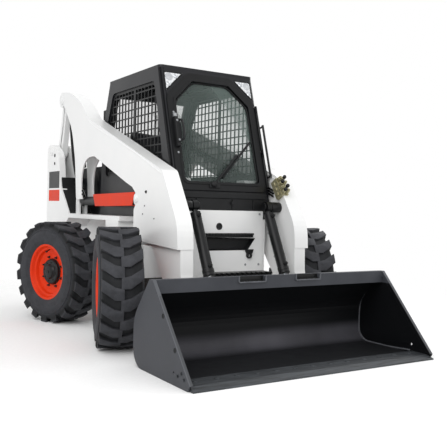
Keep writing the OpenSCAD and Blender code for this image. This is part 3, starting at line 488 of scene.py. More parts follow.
# hexagon head with a chamfer on a round washer, seat at the given point
def addBolt(bm, at, way, size):
    matrix = turnTo(at, way)
    addTurned(bm, [(0, size * 0.95), (size * 0.16, size * 0.95)], matrix, 24)
    addTurned(bm, [(size * 0.16, size * 0.62), (size * 0.6, size * 0.62), (size * 0.7, size * 0.5)],
              matrix, 6)


def makeObject(name, bm, material):
    mesh = bpy.data.meshes.new(name)
    bm.to_mesh(mesh)
    bm.free()
    mesh.materials.append(material)
    made = bpy.data.objects.new(name, mesh)
    scene.collection.objects.link(made)
    return made


def makePiece(name, bm, body, material, edge=0.0):
    bmesh.ops.recalc_face_normals(bm, faces=bm.faces)
    piece = makeObject(name, bm, finish[material])
    for polygon in piece.data.polygons:
        polygon.use_smooth = True
    piece.data.set_sharp_from_angle(angle=math.radians(sharpest["shading"]))
    if edge:
        breakEdges(piece, edge, sharpest["piece"])
    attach(piece, body)


# millimetres from the front axle: side outlines are drawn in (y, z) and pulled along x, front ones in (x, z)
shrink = Matrix.Diagonal((0.001, 0.001, 0.001, 1))
plain = Matrix.Translation((0, axleY, 0)) @ shrink
sidePlane = plain @ Matrix(((0, 0, 1, 0), (1, 0, 0, 0), (0, 1, 0, 0), (0, 0, 0, 1)))
frontPlane = plain @ Matrix(((1, 0, 0, 0), (0, 0, 1, 0), (0, 1, 0, 0), (0, 0, 0, 1)))


# one side outline on both sides of the machine, between two places outboard
def addPair(bm, outline, inner, outer):
    for low, high in ((inner, outer), (-outer, -inner)):
        addPrism(bm, outline, low, high, sidePlane)


# bolts, covers or plugs on both flanks: add makes one, each spot is y, z and a size
def addOnFlanks(bm, add, x, spots):
    for sideSign in (1, -1):
        for y, z, size in spots:
            add(bm, place(sideSign * x, y, z), Vector((sideSign, 0, 0)), size)


# studio: white paper floor that fades out, a broad soft key from the upper left, a rim and a weak front lamp
studio = {
    "paper": "#FFFFFF",
    "fill": 0.75,
    "lamps": {"key": (225.0, 5.0, (-4.5, -4.0, 5.2)),   # watts, size and place in metres
              "rim": (110.0, 4.0, (4.5, 1.0, 4.5)),
              "front": (38.0, 4.0, (0.6, -6.5, 2.2))},
    "aim": (0, 0, 0.9),
    "floor": 5,
    "fade": (2.2, 4.4),
    "fibreMm": 25,
}
world = bpy.data.worlds.new("studio")
scene.world = world
world.use_nodes = True
tree = world.node_tree
ray = addNode(tree, "ShaderNodeLightPath")
seen = calc(tree, "MAXIMUM", ray.outputs["Is Camera Ray"], ray.outputs["Is Glossy Ray"])
through = calc(tree, "MAXIMUM", seen, ray.outputs["Is Transmission Ray"])
setSockets(tree, tree.nodes["Background"], {"Color": toLinear(studio["paper"]),
                                            "Strength": remap(tree, through, 0.0, 1.0, studio["fill"], 1.0)})
scene.view_settings.view_transform = "Standard"


def addLamp(name, power, size, at):
    data = bpy.data.lights.new(name, "AREA")
    data.energy = power
    data.size = size
    lamp = bpy.data.objects.new(name, data)
    lamp.location = at
    lamp.rotation_euler = (Vector(studio["aim"]) - Vector(at)).to_track_quat("-Z", "Y").to_euler()
    scene.collection.objects.link(lamp)


for name, (power, size, at) in studio["lamps"].items():
    addLamp(name, power, size, at)
paper, tree, shader, where = startMaterial("whitePaper")
fibres = noise(tree, where, studio["fibreMm"], 3.0)
setSockets(tree, shader, {
    "Base Color": ramp(tree, fibres, [(0.3, "#FBFBFB"), (0.7, "#FFFFFF")]), "Roughness": 0.9,
    "Alpha": remap(tree, onVectors(tree, "LENGTH", where), *studio["fade"], 1.0, 0.0, "SMOOTHSTEP")})
bm = bmesh.new()
bmesh.ops.create_grid(bm, x_segments=2, y_segments=2, size=studio["floor"])
floor = makeObject("floor", bm, paper)
print("studio lit")

# wheels: black hub, nuts, valve and side wall ribs, drawn with x outboard from the wheel's middle
wheel = {"discFace": 60, "hubRadius": 107, "hubHeight": 30, "nutCircle": 128, "nuts": 8, "nut": 13,
         "capRadius": 58, "spokes": 6, "coverBolts": 8, "coverCircle": 78, "ribs": (318, 352),
         "sideWall": 148.5}
for corner, turnSign in tread["turns"].items():
    sideSign = 1 if corner.endswith("l") else -1
    low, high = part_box("tyre_" + corner)
    body = "wheel_" + corner
    turn = Matrix.Rotation(math.radians(tread["steer"]) * turnSign, 4, "Z")
    local = Matrix.Translation((low + high) / 2) @ turn @ Matrix.Diagonal((sideSign * 0.001, 0.001, 0.001, 1))
    face, radius, height = wheel["discFace"], wheel["hubRadius"], wheel["hubHeight"]
    bm = bmesh.new()
    addTurned(bm, [(face - 2, 0), (face - 2, radius + 3), (face + 5, radius + 3), (face + 7, radius - 1),
                   (face + height - 6, radius - 4), (face + height, radius - 12),
                   (face + height, wheel["capRadius"] + 6), (face + height + 3, wheel["capRadius"] + 2),
                   (face + height + 16, wheel["capRadius"] - 6),
                   (face + height + 19, wheel["capRadius"] - 14), (face + height + 19, 14),
                   (face + height + 24, 12), (face + height + 24, 0)], local, 64)
    for i in range(wheel["spokes"]):
        rib = local @ Matrix.Rotation(2 * math.pi * i / wheel["spokes"], 4, "X")
        addPrism(bm, [(face + height + 1, wheel["capRadius"]), (face + height - 4, radius - 9),
                      (face + 8, radius - 3), (face + 8, wheel["capRadius"])], -5, 5, rib)
    makePiece("hub_" + corner, bm, body, "blackChassisEnamel", 0.0015)
    bm = bmesh.new()
    way = (local.to_3x3() @ Vector((1, 0, 0))).normalized()
    for i in range(wheel["nuts"]):
        angle = 2 * math.pi * (i + 0.5) / wheel["nuts"]
        at = local @ Vector((face, wheel["nutCircle"] * math.cos(angle),
                             wheel["nutCircle"] * math.sin(angle)))
        addBolt(bm, at, way, wheel["nut"] / 1000)
        addTurned(bm, [(0.004, 0.006), (0.02, 0.006), (0.021, 0.004)], turnTo(at, way), 12)
    for i in range(wheel["coverBolts"]):
        angle = 2 * math.pi * i / wheel["coverBolts"] + 0.2
        at = local @ Vector((face + height, wheel["coverCircle"] * math.cos(angle),
                             wheel["coverCircle"] * math.sin(angle)))
        addBolt(bm, at, way, 0.008)
    makePiece("wheel_nuts_" + corner, bm, body, "paintedCastIron")
    bm = bmesh.new()
    for rib in wheel["ribs"]:
        wall = wheel["sideWall"] if rib < 330 else wheel["sideWall"] - 6
        addTurned(bm, [(wall - 3, rib - 5), (wall + 1.2, rib - 3), (wall + 1.2, rib + 3),
                       (wall - 3, rib + 5)], local, 96, True)
    makePiece("side_wall_ribs_" + corner, bm, body, "tyreRubber")
    bm = bmesh.new()
    stem = [local @ Vector(p) for p in ((96, 0, 186), (108, 0, 180), (122, 0, 172))]
    addTube(bm, roundPath(stem, 0.01), 0.005, 10)
    addTube(bm, [local @ Vector((118, 0, 174.2)), local @ Vector((132, 0, 166.4))], 0.007, 10)
    makePiece("valve_" + corner, bm, body, "sealRubber")
print("wheels dressed")

# cab: the door's leaning face has its own frame, x across, z up the face, y into the cab
cab = {"sillY": -85, "sillZ": 1105, "frontY": 196, "wallZ": 2031, "doorX": 372, "doorLow": 24,
       "doorCut": 190, "doorSlant": 190, "doorRim": 46, "doorRadius": 52}
lean = math.atan((cab["frontY"] - cab["sillY"]) / (cab["wallZ"] - cab["sillZ"]))
faceLength = (cab["wallZ"] - cab["sillZ"]) / math.cos(lean)
face = Matrix.Translation(place(0, cab["sillY"], cab["sillZ"])) @ Matrix.Rotation(-lean, 4, "X") @ shrink
facePlane = face @ Matrix(((1, 0, 0, 0), (0, 0, 1, 0), (0, 1, 0, 0), (0, 0, 0, 1)))


def doorOutline(inset, depth):
    wide, low, high = cab["doorX"] - inset, cab["doorLow"] + inset, faceLength - 46 - inset
    cut, slant = cab["doorCut"] - inset * 0.41, cab["doorSlant"] - inset * 0.41
    points = [Vector((0, low, 0)), Vector((wide, low, 0)), Vector((wide, high - slant, 0)),
              Vector((wide - cut, high, 0)), Vector((cut - wide, high, 0)), Vector((-wide, high - slant, 0)),
              Vector((-wide, low, 0)), Vector((0, low, 0))]
    path = roundPath(points, cab["doorRadius"])[:-1]
    return [facePlane @ Vector((p.x, p.y, depth)) for p in path]


bm = bmesh.new()
addTube(bm, doorOutline(cab["doorRim"] + 3, 4), 0.007, 10, True)
addTube(bm, doorOutline(cab["doorRim"] - 17, -11), 0.004, 10, True)
makePiece("door_seals", bm, "door", "sealRubber")

# wiper: motor cap, arm, and a blade with a rubber lip on the glass
wiper = {"pivot": (-92, 52), "tip": (268, 420), "armOut": -32, "bladeOut": -8, "bladeFrom": 0.2,
         "bladeShift": 44}
pivot, tip = Vector(wiper["pivot"]), Vector(wiper["tip"])
reach = tip - pivot
normal = Vector((reach.y, -reach.x)).normalized()
bm = bmesh.new()
hubAt = facePlane @ Vector((pivot.x, pivot.y, -16))
outward = (face.to_3x3() @ Vector((0, -1, 0))).normalized()
addTurned(bm, [(-0.006, 0.024), (0.012, 0.024), (0.02, 0.018), (0.026, 0.008), (0.026, 0)],
          turnTo(hubAt, outward), 32)
addBlock(bm, (-130, 26, -20), (-40, 62, -11), facePlane)
elbow = pivot + reach * 0.3
armPath = [facePlane @ Vector((p.x, p.y, d)) for p, d in ((pivot, wiper["armOut"]),
                                                          (elbow, wiper["armOut"] - 4),
                                                          (pivot + reach * 0.66, wiper["bladeOut"] - 14))]
addTube(bm, roundPath(armPath, 0.03), 0.009, 12)
bladeSpan = (wiper["bladeFrom"], 1.02)
blade = [pivot + reach * t + normal * wiper["bladeShift"] * 0.5 for t in bladeSpan]
addTube(bm, [facePlane @ Vector((p.x, p.y, wiper["bladeOut"] - 4)) for p in blade], 0.009, 10)
addTube(bm, [facePlane @ Vector((p.x, p.y, 3)) for p in blade], 0.004, 6)
middle = pivot + reach * 0.66
addTube(bm, [facePlane @ Vector((p.x, p.y, wiper["bladeOut"] - 10)) for p in
             (middle, middle + normal * wiper["bladeShift"] * 0.5)], 0.006, 8)
makePiece("wiper", bm, "door", "blackAbs", 0.001)

# latch side of the door: paddle on its bracket, then its screws and the striker
bm = bmesh.new()
addPrism(bm, [(-369, 356), (-336, 366), (-328, 420), (-328, 500), (-338, 536), (-369, 540)], -54, -42,
         facePlane)
grip = [facePlane @ Vector(p) for p in ((-334, 372, -46), (-322, 384, -72), (-322, 520, -72),
                                        (-334, 534, -46))]
addTube(bm, roundPath(grip, 0.02), 0.009, 14)
makePiece("latch_paddle", bm, "door", "blackAbs", 0.003)
bm = bmesh.new()
for x, z in ((-356, 372), (-356, 524), (-354, 606), (-354, 290)):
    addBolt(bm, facePlane @ Vector((x, z, -54 if 340 < z < 540 else -12)), outward, 0.009)
addBlock(bm, (-366, 564, -30), (-340, 592, -12), facePlane)
makePiece("door_fittings", bm, "door", "zincPlate", 0.0015)

# corner lamps: black bezel round each lens, and two reflector bowls behind the prisms
lamp = {"edge": 388, "top": faceLength - 30, "width": 160, "height": 155, "bezel": 0.006}
for sideSign, word in ((1, "left"), (-1, "right")):
    bm = bmesh.new()
    corner = [Vector((sideSign * u, v, 2)) for u, v in ((lamp["edge"], lamp["top"]),
                                                        (lamp["edge"] - lamp["width"], lamp["top"]),
                                                        (lamp["edge"], lamp["top"] - lamp["height"]))]
    ring = [(corner[0] + corner[1]) / 2, corner[1], corner[2], corner[0], (corner[0] + corner[1]) / 2]
    addTube(bm, [facePlane @ p for p in roundPath(ring, 22)[:-1]], lamp["bezel"], 10, True)
    makePiece("lamp_bezel_" + word, bm, "chassis", "sealRubber")
    bm = bmesh.new()
    for u, v, radius in ((38, 38, 30), (98, 28, 20), (28, 98, 20)):
        at = facePlane @ Vector((sideSign * (lamp["edge"] - u), lamp["top"] - v, 0))
        addTurned(bm, [(-0.002, 0.001 * radius), (0.003, 0.001 * radius), (0.004, 0.0009 * radius),
                       (0.0015, 0.0005 * radius), (0.0035, 0.0003 * radius), (0.0045, 0)],
                  turnTo(at, outward), 32)
    makePiece("lamp_bowls_" + word, bm, "chassis", "hardChrome")

# roof: four pressed ribs along it, and a work lamp behind the cab
roof = {"ribs": (-300, -100, 100, 300), "half": 16, "front": 290, "back": 1030, "low": 2056, "high": 2065}
bm = bmesh.new()
for x in roof["ribs"]:
    wide, tip = roof["half"], roof["half"] - 6
    front, back = roof["front"], roof["back"]
    outline = [(x - wide, front + 10), (x - tip, front), (x + tip, front), (x + wide, front + 10),
               (x + wide, back - 10), (x + tip, back), (x - tip, back), (x - wide, back - 10)]
    addPrism(bm, outline, roof["low"], roof["high"], plain)
makePiece("roof_ribs", bm, "chassis", "charcoalTexturePaint", 0.004)
bm = bmesh.new()
addBlock(bm, (-400, 1250, 1742), (-300, 1330, 1828), plain)
addTube(bm, [place(-350, 1270, 1700), place(-350, 1290, 1750)], 0.012, 12)
addBlock(bm, (-392, 1328, 1750), (-308, 1340, 1820), plain)
makePiece("rear_work_lamp", bm, "chassis", "blackAbs", 0.006)
print("cab dressed")

# seat: foam blocks under grained vinyl, swollen as cloth, with pleat seams laid on afterwards
seatParts = {
    "seat_cushion": {"low": (-244, 566, 1066), "high": (244, 1114, 1172), "up": (0, 0, 1),
                     "pleats": (-90, 90)},
    "seat_back": {"low": (-234, 1030, 1188), "high": (234, 1150, 1632), "up": (0, -1, 0),
                  "pleats": (-90, 90)},
}
# metres: edge radius, voxels, band held to the frame, most that a point may swell, half width of a pleat
foam = {"round": 0.034, "voxel": 0.009, "quickVoxel": 0.012, "held": 0.012, "swell": 0.024, "pressure": 4.0,
        "frames": 20, "pleat": 0.022, "pleatDeep": 0.009, "faceDeep": 0.05, "fill": 0.8}
for name, spec in seatParts.items():
    bm = bmesh.new()
    addBlock(bm, spec["low"], spec["high"], plain)
    pad = makeObject(name + "_pad", bm, finish["grainedVinyl"])
    mesh = pad.data
    rounded = pad.modifiers.new("rounded", "BEVEL")
    rounded.width = foam["round"]
    rounded.segments = 5
    even = pad.modifiers.new("even", "REMESH")
    even.mode = "VOXEL"
    even.voxel_size = foam["voxel"]
    bpy.context.view_layer.objects.active = pad
    pad.select_set(True)
    bpy.ops.object.modifier_apply(modifier="rounded")
    bpy.ops.object.modifier_apply(modifier="even")
    start = [v.co.copy() for v in mesh.vertices]
    upward = Vector(spec["up"])
    # the side against the seat's frame is held, the rest swells
    held = pad.vertex_groups.new(name="held")
    lowest = min(upward.dot(v) for v in start)
    held.add([i for i, v in enumerate(start) if upward.dot(v) < lowest + foam["held"]], 1.0, "REPLACE")
    cloth = pad.modifiers.new("cloth", "CLOTH")
    cloth.settings.quality = 5
    cloth.settings.tension_stiffness = 40
    cloth.settings.compression_stiffness = 40
    cloth.settings.bending_stiffness = 4
    cloth.settings.use_pressure = True
    cloth.settings.uniform_pressure_force = foam["pressure"]
    cloth.settings.vertex_group_mass = "held"
    cloth.settings.effector_weights.gravity = 0
    for number in range(1, foam["frames"] + 1):
        scene.frame_set(number)
    depsgraph = bpy.context.evaluated_depsgraph_get()
    swollen = [v.co.copy() for v in pad.evaluated_get(depsgraph).data.vertices]
    pad.modifiers.remove(cloth)
    scene.frame_set(1)
    for vertex, before, after in zip(mesh.vertices, start, swollen):
        move = after - before
        if move.length > 1e-9:
            move = move.normalized() * min(move.length, foam["swell"])
        vertex.co = before + move
    # pleat seams: narrow grooves pressed across the face
    topReach = max(upward.dot(v) for v in start)
    for vertex in mesh.vertices:
        for pleat in spec["pleats"]:
            gap = abs(vertex.co.x - pleat / 1000)
            if gap < foam["pleat"] and upward.dot(vertex.co) > topReach - foam["faceDeep"]:
                vertex.co -= upward * foam["pleatDeep"] * (1 - (gap / foam["pleat"]) ** 2)
    for polygon in mesh.polygons:
        polygon.use_smooth = True
    smoothed = pad.modifiers.new("smoothed", "SUBSURF")
    smoothed.levels = smoothed.render_levels = 1
    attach(pad, "chassis")
    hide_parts(name)
print("seat swollen")

# levers: rubber bellows and moulded grips; then the arm pods by the seat, and white ledges at the footwell
lever = {"x": 270, "y": 420, "top": 1380, "foot": 190, "folds": 4}
grips = bmesh.new()
for sideSign in (1, -1):
    x, y, high = sideSign * lever["x"], lever["y"], lever["top"]
    foot = Matrix.Translation(place(x, y, high - lever["foot"])) @ Matrix.Rotation(-math.pi / 2, 4, "Y")
    bellows = [(0.0, 0.052)]
    for i in range(lever["folds"]):
        bellows += [(0.012 + 0.02 * i, 0.05 - 0.009 * i), (0.02 + 0.02 * i, 0.04 - 0.008 * i)]
    addTurned(grips, bellows + [(0.1, 0.014), (0.1, 0)], foot, 24)
    addTurned(grips, [(0.1, 0.013), (0.108, 0.017), (0.13, 0.016), (0.16, 0.02), (0.185, 0.022), (0.2, 0.017),
                      (0.204, 0)], foot, 24)
makePiece("lever_grips", grips, "chassis", "sealRubber")
pod = {"x": (253, 317),
       "side": [(300, 1080), (300, 1150), (380, 1196), (560, 1200), (900, 1230), (940, 1210), (940, 1100),
                (880, 1080)]}
bm = bmesh.new()
addPair(bm, pod["side"], *pod["x"])
makePiece("arm_pods", bm, "chassis", "blackAbs", 0.012)
ledge = {"x": (238, 374),
         "side": [(-26, 1080), (-26, 1150), (8, 1206), (120, 1206), (120, 1080)]}
bm = bmesh.new()
addPair(bm, ledge["side"], *ledge["x"])
makePiece("inner_ledge", bm, "chassis", "whitePowderCoat", 0.006)
print("cab furnished")

# front panel: a black lining in the step pocket as painted shade, a serrated lip, tie-down eye, inspection
# plug, screws
panel = {"skin": -97, "lipLeft": -232, "lipWide": 480, "lipTeeth": 18, "lipLow": 772, "lipHigh": 800,
         "lipOut": 34, "plug": (-45, 850), "pocketShadeFront": [(-229, 769), (279, 759), (214, 671), (-204, 671)],
         "pocketShadeBack": [(-214, 761), (262, 752), (204, 681), (-192, 681)], "eye": (225, -105, 630),
         "screws": ((-318, 945), (318, 945), (-318, 560), (318, 560), (-318, 300), (318, 300), (196, 560))}
bm = bmesh.new()
left, wide, skin, out = panel["lipLeft"], panel["lipWide"], panel["skin"], panel["skin"] - panel["lipOut"]
pitch = wide / panel["lipTeeth"]
edge = []
for i in range(panel["lipTeeth"]):
    u = left + wide * i / panel["lipTeeth"]
    edge += [(u, out), (u + pitch * 0.3, out - 7), (u + pitch * 0.6, out)]
addPrism(bm, [(left, skin + 1)] + edge + [(left + wide, out), (left + wide, skin + 1)],
         panel["lipLow"] + 12, panel["lipHigh"], plain)
addPrism(bm, [(left, skin + 1), (left, skin - 24), (left + wide, skin - 24), (left + wide, skin + 1)],
         panel["lipLow"] - 4, panel["lipLow"] + 13, plain)
makePiece("step_lip", bm, "chassis", "blackChassisEnamel", 0.002)
# black lining of the step pocket: painted shade of the pocket's dark inside
bm = bmesh.new()
lowRing = [bm.verts.new(frontPlane @ Vector((u, v, skin - 2))) for u, v in panel["pocketShadeFront"]]
backRing = [bm.verts.new(frontPlane @ Vector((u, v, skin + 33.5))) for u, v in panel["pocketShadeBack"]]
for i in range(4):
    j = (i + 1) % 4
    bm.faces.new((lowRing[i], lowRing[j], backRing[j], backRing[i]))
bm.faces.new(backRing)
makePiece("step_pocket_shade", bm, "chassis", "blackAbs")
bm = bmesh.new()
addPrism(bm, [(186, 676), (262, 676), (246, 640), (204, 640)], skin - 15, skin, frontPlane)
addTurned(bm, [(-0.008, 0.011), (-0.008, 0.024), (0.006, 0.024), (0.008, 0.022), (0.008, 0.011)],
          turnTo(place(*panel["eye"]), Vector((0, -1, 0))), 40, True)
addTurned(bm, [(0, 0.026), (0.004, 0.026), (0.007, 0.022), (0.007, 0.018), (0.004, 0.016), (0.004, 0)],
          turnTo(place(panel["plug"][0], panel["skin"], panel["plug"][1]), Vector((0, -1, 0))), 40)
addTurned(bm, [(0, 0.015), (0.006, 0.014), (0.008, 0)], turnTo(place(62, -112, 1024), Vector((0, -1, 0))), 24)
makePiece("panel_fittings", bm, "chassis", "blackAbs")
bm = bmesh.new()
for x, z in panel["screws"]:
    addBolt(bm, place(x, panel["skin"], z), Vector((0, -1, 0)), 0.009)
makePiece("panel_screws", bm, "chassis", "zincPlate")

# towers: plain colour blocks, plugs, link pin covers with keeper bolts
tower = {"x": 600, "plugs": ((2041, 1456, 17), (2042, 1379, 15)), "dark": ((1897, 1142), (2203, 1303)),
         "orange": ((1891, 1019), (2206, 1126)), "film": (599.6, 600.8)}
for word, material, slotName in (("dark", "blackChassisEnamel", "black_steel"),
                                 ("orange", "orangeEnamel", "orange_paint")):
    bm = bmesh.new()
    (y0, z0), (y1, z1) = tower[word]
    addPair(bm, [(y0, z0), (y1, z0), (y1, z1), (y0, z1)], *tower["film"])
    makePiece("tower_film_" + word, bm, "chassis", material)


def addPlug(bm, at, way, radius):
    addTurned(bm, [(0, 0.001 * radius), (0.002, 0.001 * radius), (0.0025, 0.0008 * radius),
                   (0.001, 0.0007 * radius), (0.001, 0)], turnTo(at, way), 32)


bm = bmesh.new()
addOnFlanks(bm, addPlug, tower["x"], tower["plugs"])
makePiece("tower_plugs", bm, "chassis", "sealRubber")
# black wear liner on each tower's front
liner = {"x": (384, 586),
         "curve": [(1872, 1240), (1862, 1170), (1846, 1130), (1800, 1084), (1738, 1030), (1690, 986),
                   (1640, 926), (1622, 911)]}
bm = bmesh.new()
strip = [(y - 3, z + 3) for y, z in liner["curve"]]
strip += [(y + 6, z - 6) for y, z in reversed(liner["curve"])]
addPair(bm, strip, *liner["x"])
makePiece("tower_liners", bm, "chassis", "sealRubber")


# round cover plate with two keeper bolts, over a pin's end
def addPinCover(bm, at, way, radius):
    matrix = turnTo(at, way)
    addTurned(bm, [(0, radius), (0.006, radius), (0.008, radius - 0.003), (0.008, radius * 0.55),
                   (0.013, radius * 0.5), (0.013, 0)], matrix, 40)
    for angle in (0.6, 0.6 + math.pi):
        addBolt(bm, matrix @ Vector((0.007, radius * 0.76 * math.cos(angle),
                                     radius * 0.76 * math.sin(angle))), way, 0.007)


# arms: pin covers, dark bolts on the flank and the rear leg's foot, a rubber guard along the rear edge,
# and weld beads where the top plate meets the side plates
arm = {"outer": 555, "inner": 432, "linkPin": (2130, 1500, 0.042),
       "pins": ((1990, 1985, 0.046), (270, 1040, 0.03)),
       "bolts": ((1362, 1080, 0.011), (1396, 1080, 0.011), (1396, 1112, 0.011), (98, 1092, 0.013),
                 (150, 930, 0.006), (-40, 900, 0.006), (120, 990, 0.006)),
       "guardX": (446, 460),
       "guardIn": [(1900, 1900), (1790, 1790), (1715, 1690), (1660, 1570), (1622, 1440), (1600, 1330)],
       "guardOut": [(1905, 1893), (1822, 1770), (1762, 1660), (1722, 1540), (1700, 1420), (1690, 1330)],
       "seam": [(1290, 1722), (1160, 1660), (900, 1578), (600, 1482), (300, 1386), (0, 1272), (-128, 1222)]}
bm = bmesh.new()
addOnFlanks(bm, addPinCover, tower["x"], [arm["linkPin"]])
makePiece("link_pin_covers", bm, "chassis", "whitePowderCoat", 0.001)
bm = bmesh.new()
addOnFlanks(bm, addPinCover, arm["outer"], arm["pins"])
makePiece("arm_pin_covers", bm, "boom", "whitePowderCoat", 0.001)
bm = bmesh.new()
addOnFlanks(bm, addBolt, arm["outer"], arm["bolts"])
makePiece("arm_bolts", bm, "boom", "blackChassisEnamel")
bm = bmesh.new()
addPair(bm, arm["guardIn"] + arm["guardOut"][::-1], *arm["guardX"])
makePiece("hose_guards", bm, "boom", "sealRubber", 0.003)
bm = bmesh.new()
for x in (arm["outer"], arm["inner"], -arm["inner"], -arm["outer"]):
    addTube(bm, roundPath([place(x, y, z) for y, z in arm["seam"]], 0.06), 0.0035, 8)
makePiece("arm_weld_beads", bm, "boom", "whitePowderCoat")
print("body dressed")

# quick couplers on the plate at the left arm's front edge: turned bodies with ringed sleeves, some under caps
coupler = {"nose": (0, -151, 1242), "shin": (0, -391, 868), "rows": (46, 86, 126, 160), "columns": (420, 453),
           "seat": 13, "plugs": (60, 104, 148), "plugX": 404}
nose = Vector(coupler["nose"])
down = (Vector(coupler["shin"]) - nose).normalized()
forward = Vector((0, down.z, -down.y))
bm = bmesh.new()
caps = bmesh.new()
for row, along in enumerate(coupler["rows"]):
    for column, x in enumerate(coupler["columns"]):
        foot = nose + down * along + forward * coupler["seat"]
        way = turnTo(place(x, foot.y, foot.z), forward)
        addTurned(bm, [(0, 0.0125), (0.006, 0.0125), (0.006, 0.0145), (0.011, 0.0155), (0.015, 0.0145),
                       (0.019, 0.0155), (0.023, 0.0145), (0.027, 0.0155), (0.031, 0.0145), (0.033, 0.0115),
                       (0.043, 0.011), (0.045, 0.01), (0.045, 0.007), (0.034, 0.006), (0.034, 0)], way, 24)
        if (row + column) % 2:
            addTurned(caps, [(0.036, 0.0135), (0.04, 0.0145), (0.052, 0.0145), (0.056, 0.012), (0.056, 0)],
                      way, 24)
for along in coupler["plugs"]:
    foot = nose + down * along - forward * 26
    addTurned(bm, [(-0.001, 0.014), (0.004, 0.014), (0.006, 0.011), (0.006, 0)],
              turnTo(place(coupler["plugX"], foot.y, foot.z), Vector((-1, 0, 0))), 6)
makePiece("quick_couplers", bm, "boom", "passivatedFitting")
makePiece("coupler_caps", caps, "boom", "sealRubber")
# bent steel lines from the block back along the arm's inner face, in clips
armLine = {"x": 421, "drops": (0, 22, 44), "radius": 0.0075,
           "way": ((-128, 1130), (-96, 1142), (60, 1196), (500, 1340), (900, 1470), (1240, 1590)),
           "clips": ((60, 1174), (500, 1318), (900, 1448))}
bm = bmesh.new()
for drop in armLine["drops"]:
    addTube(bm, roundPath([place(armLine["x"], y, z - drop) for y, z in armLine["way"]], 0.05),
            armLine["radius"], 10)
for y, z in armLine["clips"]:
    addBlock(bm, (408, y - 14, z - 40), (arm["inner"], y + 14, z + 40), plain)
makePiece("arm_lines", bm, "boom", "blackChassisEnamel")
# black lines bowed out behind each arm's rear edge, their ends tucked into the arm's slot; they are hoses,
# and also a dark stand-in for the shaded gap behind the arm: partly painted shade
rearLine = {"way": ((1552, 1130, 0), (1594, 1198, 0.4), (1619, 1386, 0.95), (1664, 1536, 1),
                    (1724, 1675, 0.85), (1810, 1780, 0.4), (1848, 1856, 0)),
            "bows": ((480, 100), (508, 140)), "radius": 0.013}
bm = bmesh.new()
for sideSign in (1, -1):
    for x, bow in rearLine["bows"]:
        line = []
        for y, z, share in rearLine["way"]:
            line.append(place(sideSign * x, y + bow * share, z - bow * share * 0.3))
        addTube(bm, roundPath(line, 0.09), rearLine["radius"], 12)
makePiece("rear_lines", bm, "boom", "sealRubber")
print("couplers fitted")

# bucket: bolts of the side cutters and the cutting edge, holes in the side plates, weld beads inside
bucket = {"half": 940, "inner": 928, "holes": ((-962, 364), (-1112, 195)),
          "bolts": ((-1192, 84, 0.011), (-1150, 62, 0.011), (-1222, 56, 0.011)),
          "edgeBolts": range(-840, 841, 140), "edgeAt": (-1165, 25), "bead": 0.006,
          "heelMiddle": (-685, 120), "heelRadius": 105,
          "beadFront": [(-1095, 27), (-900, 15), (-690, 15)],
          "beadBack": [(-580, 240), (-592, 316), (-640, 380), (-742, 512)], "edgeBead": (920, -1104, 17)}
bm = bmesh.new()
addOnFlanks(bm, addBolt, bucket["half"], bucket["bolts"])
for x in bucket["edgeBolts"]:
    matrix = turnTo(place(x, *bucket["edgeAt"]), Vector((0, 0, 1)))
    addTurned(bm, [(-0.001, 0.017), (0.002, 0.0165), (0.004, 0.0145), (0.004, 0)], matrix, 24)
makePiece("bucket_bolts", bm, "bucket", "wornBladeSteel")
# the side plates' holes are dark discs laid on the plate: painted shade of the holes
bm = bmesh.new()
for sideSign in (1, -1):
    for y, z in bucket["holes"]:
        matrix = turnTo(place(sideSign * bucket["half"], y, z), Vector((sideSign, 0, 0)))
        addTurned(bm, [(0, 0.015), (0.001, 0.015), (0.0014, 0.0135), (0.0004, 0.012), (0.0004, 0)],
                  matrix, 28)
makePiece("bucket_holes", bm, "bucket", "sealRubber")


# a weld bead: a tube whose ripples follow the welder's steps
def addBead(bm, path, radius):
    dense = []
    for a, b in zip(path, path[1:]):
        count = max(2, int((b - a).length / 0.006))
        dense += [a.lerp(b, i / count) for i in range(count)]
    dense.append(path[-1])
    start = len(bm.verts)
    addTube(bm, dense, radius, 8)
    bm.verts.ensure_lookup_table()
    for i, centre in enumerate(dense):
        swell = 1 + 0.16 * math.sin(i * 2.1)
        for k in range(8):
            vertex = bm.verts[start + i * 8 + k]
            vertex.co = centre + (vertex.co - centre) * swell


bm = bmesh.new()
y, z = bucket["heelMiddle"]
turns = [math.radians(d) for d in range(10, 91, 16)]
curve = [(y + bucket["heelRadius"] * math.sin(a), z - bucket["heelRadius"] * math.cos(a)) for a in turns]
heel = bucket["beadFront"] + curve + bucket["beadBack"]
for sideSign in (1, -1):
    line = [place(sideSign * (bucket["inner"] - 2), y, z) for y, z in heel]
    addBead(bm, roundPath(line, 0.05), bucket["bead"])
half, y, z = bucket["edgeBead"]
addBead(bm, [place(-half, y, z), place(half, y, z)], bucket["bead"])
makePiece("bucket_welds", bm, "bucket", "thinWeldPaint")
# step treads in the rail's slots: a black toothed strip, and a raised rim round each slot
treads = {"x": (-228, 228), "half": 100, "face": -817, "back": -786, "low": 521, "top": 555, "teeth": 9,
          "pitch": 22, "rim": 9}
front, back, low, high, rim = (treads[k] for k in ("face", "back", "low", "top", "rim"))
bm = bmesh.new()
rims = bmesh.new()
for x in treads["x"]:
    left, right = x - treads["half"], x + treads["half"]
    addBlock(bm, (left + 1, back - 3, low - 1), (right - 1, back + 1, high - 3), plain)
    addBlock(bm, (left + 1, front + 8, low - 2), (right - 1, back + 1, low + 3), plain)
    for i in range(treads["teeth"]):
        tooth = left + 12 + i * treads["pitch"]
        addPrism(bm, [(tooth - 8, low + 2), (tooth + 8, low + 2), (tooth, low + 12)], front + 9, front + 13,
                 frontPlane)
    for a, b in ((left - rim, left), (right, right + rim)):
        addBlock(rims, (a, front - 5, low - rim), (b, front + 6, high + 3), plain)
    addBlock(rims, (left - rim, front - 5, low - rim), (right + rim, front + 6, low - 1), plain)
makePiece("bucket_treads", bm, "bucket", "blackChassisEnamel")
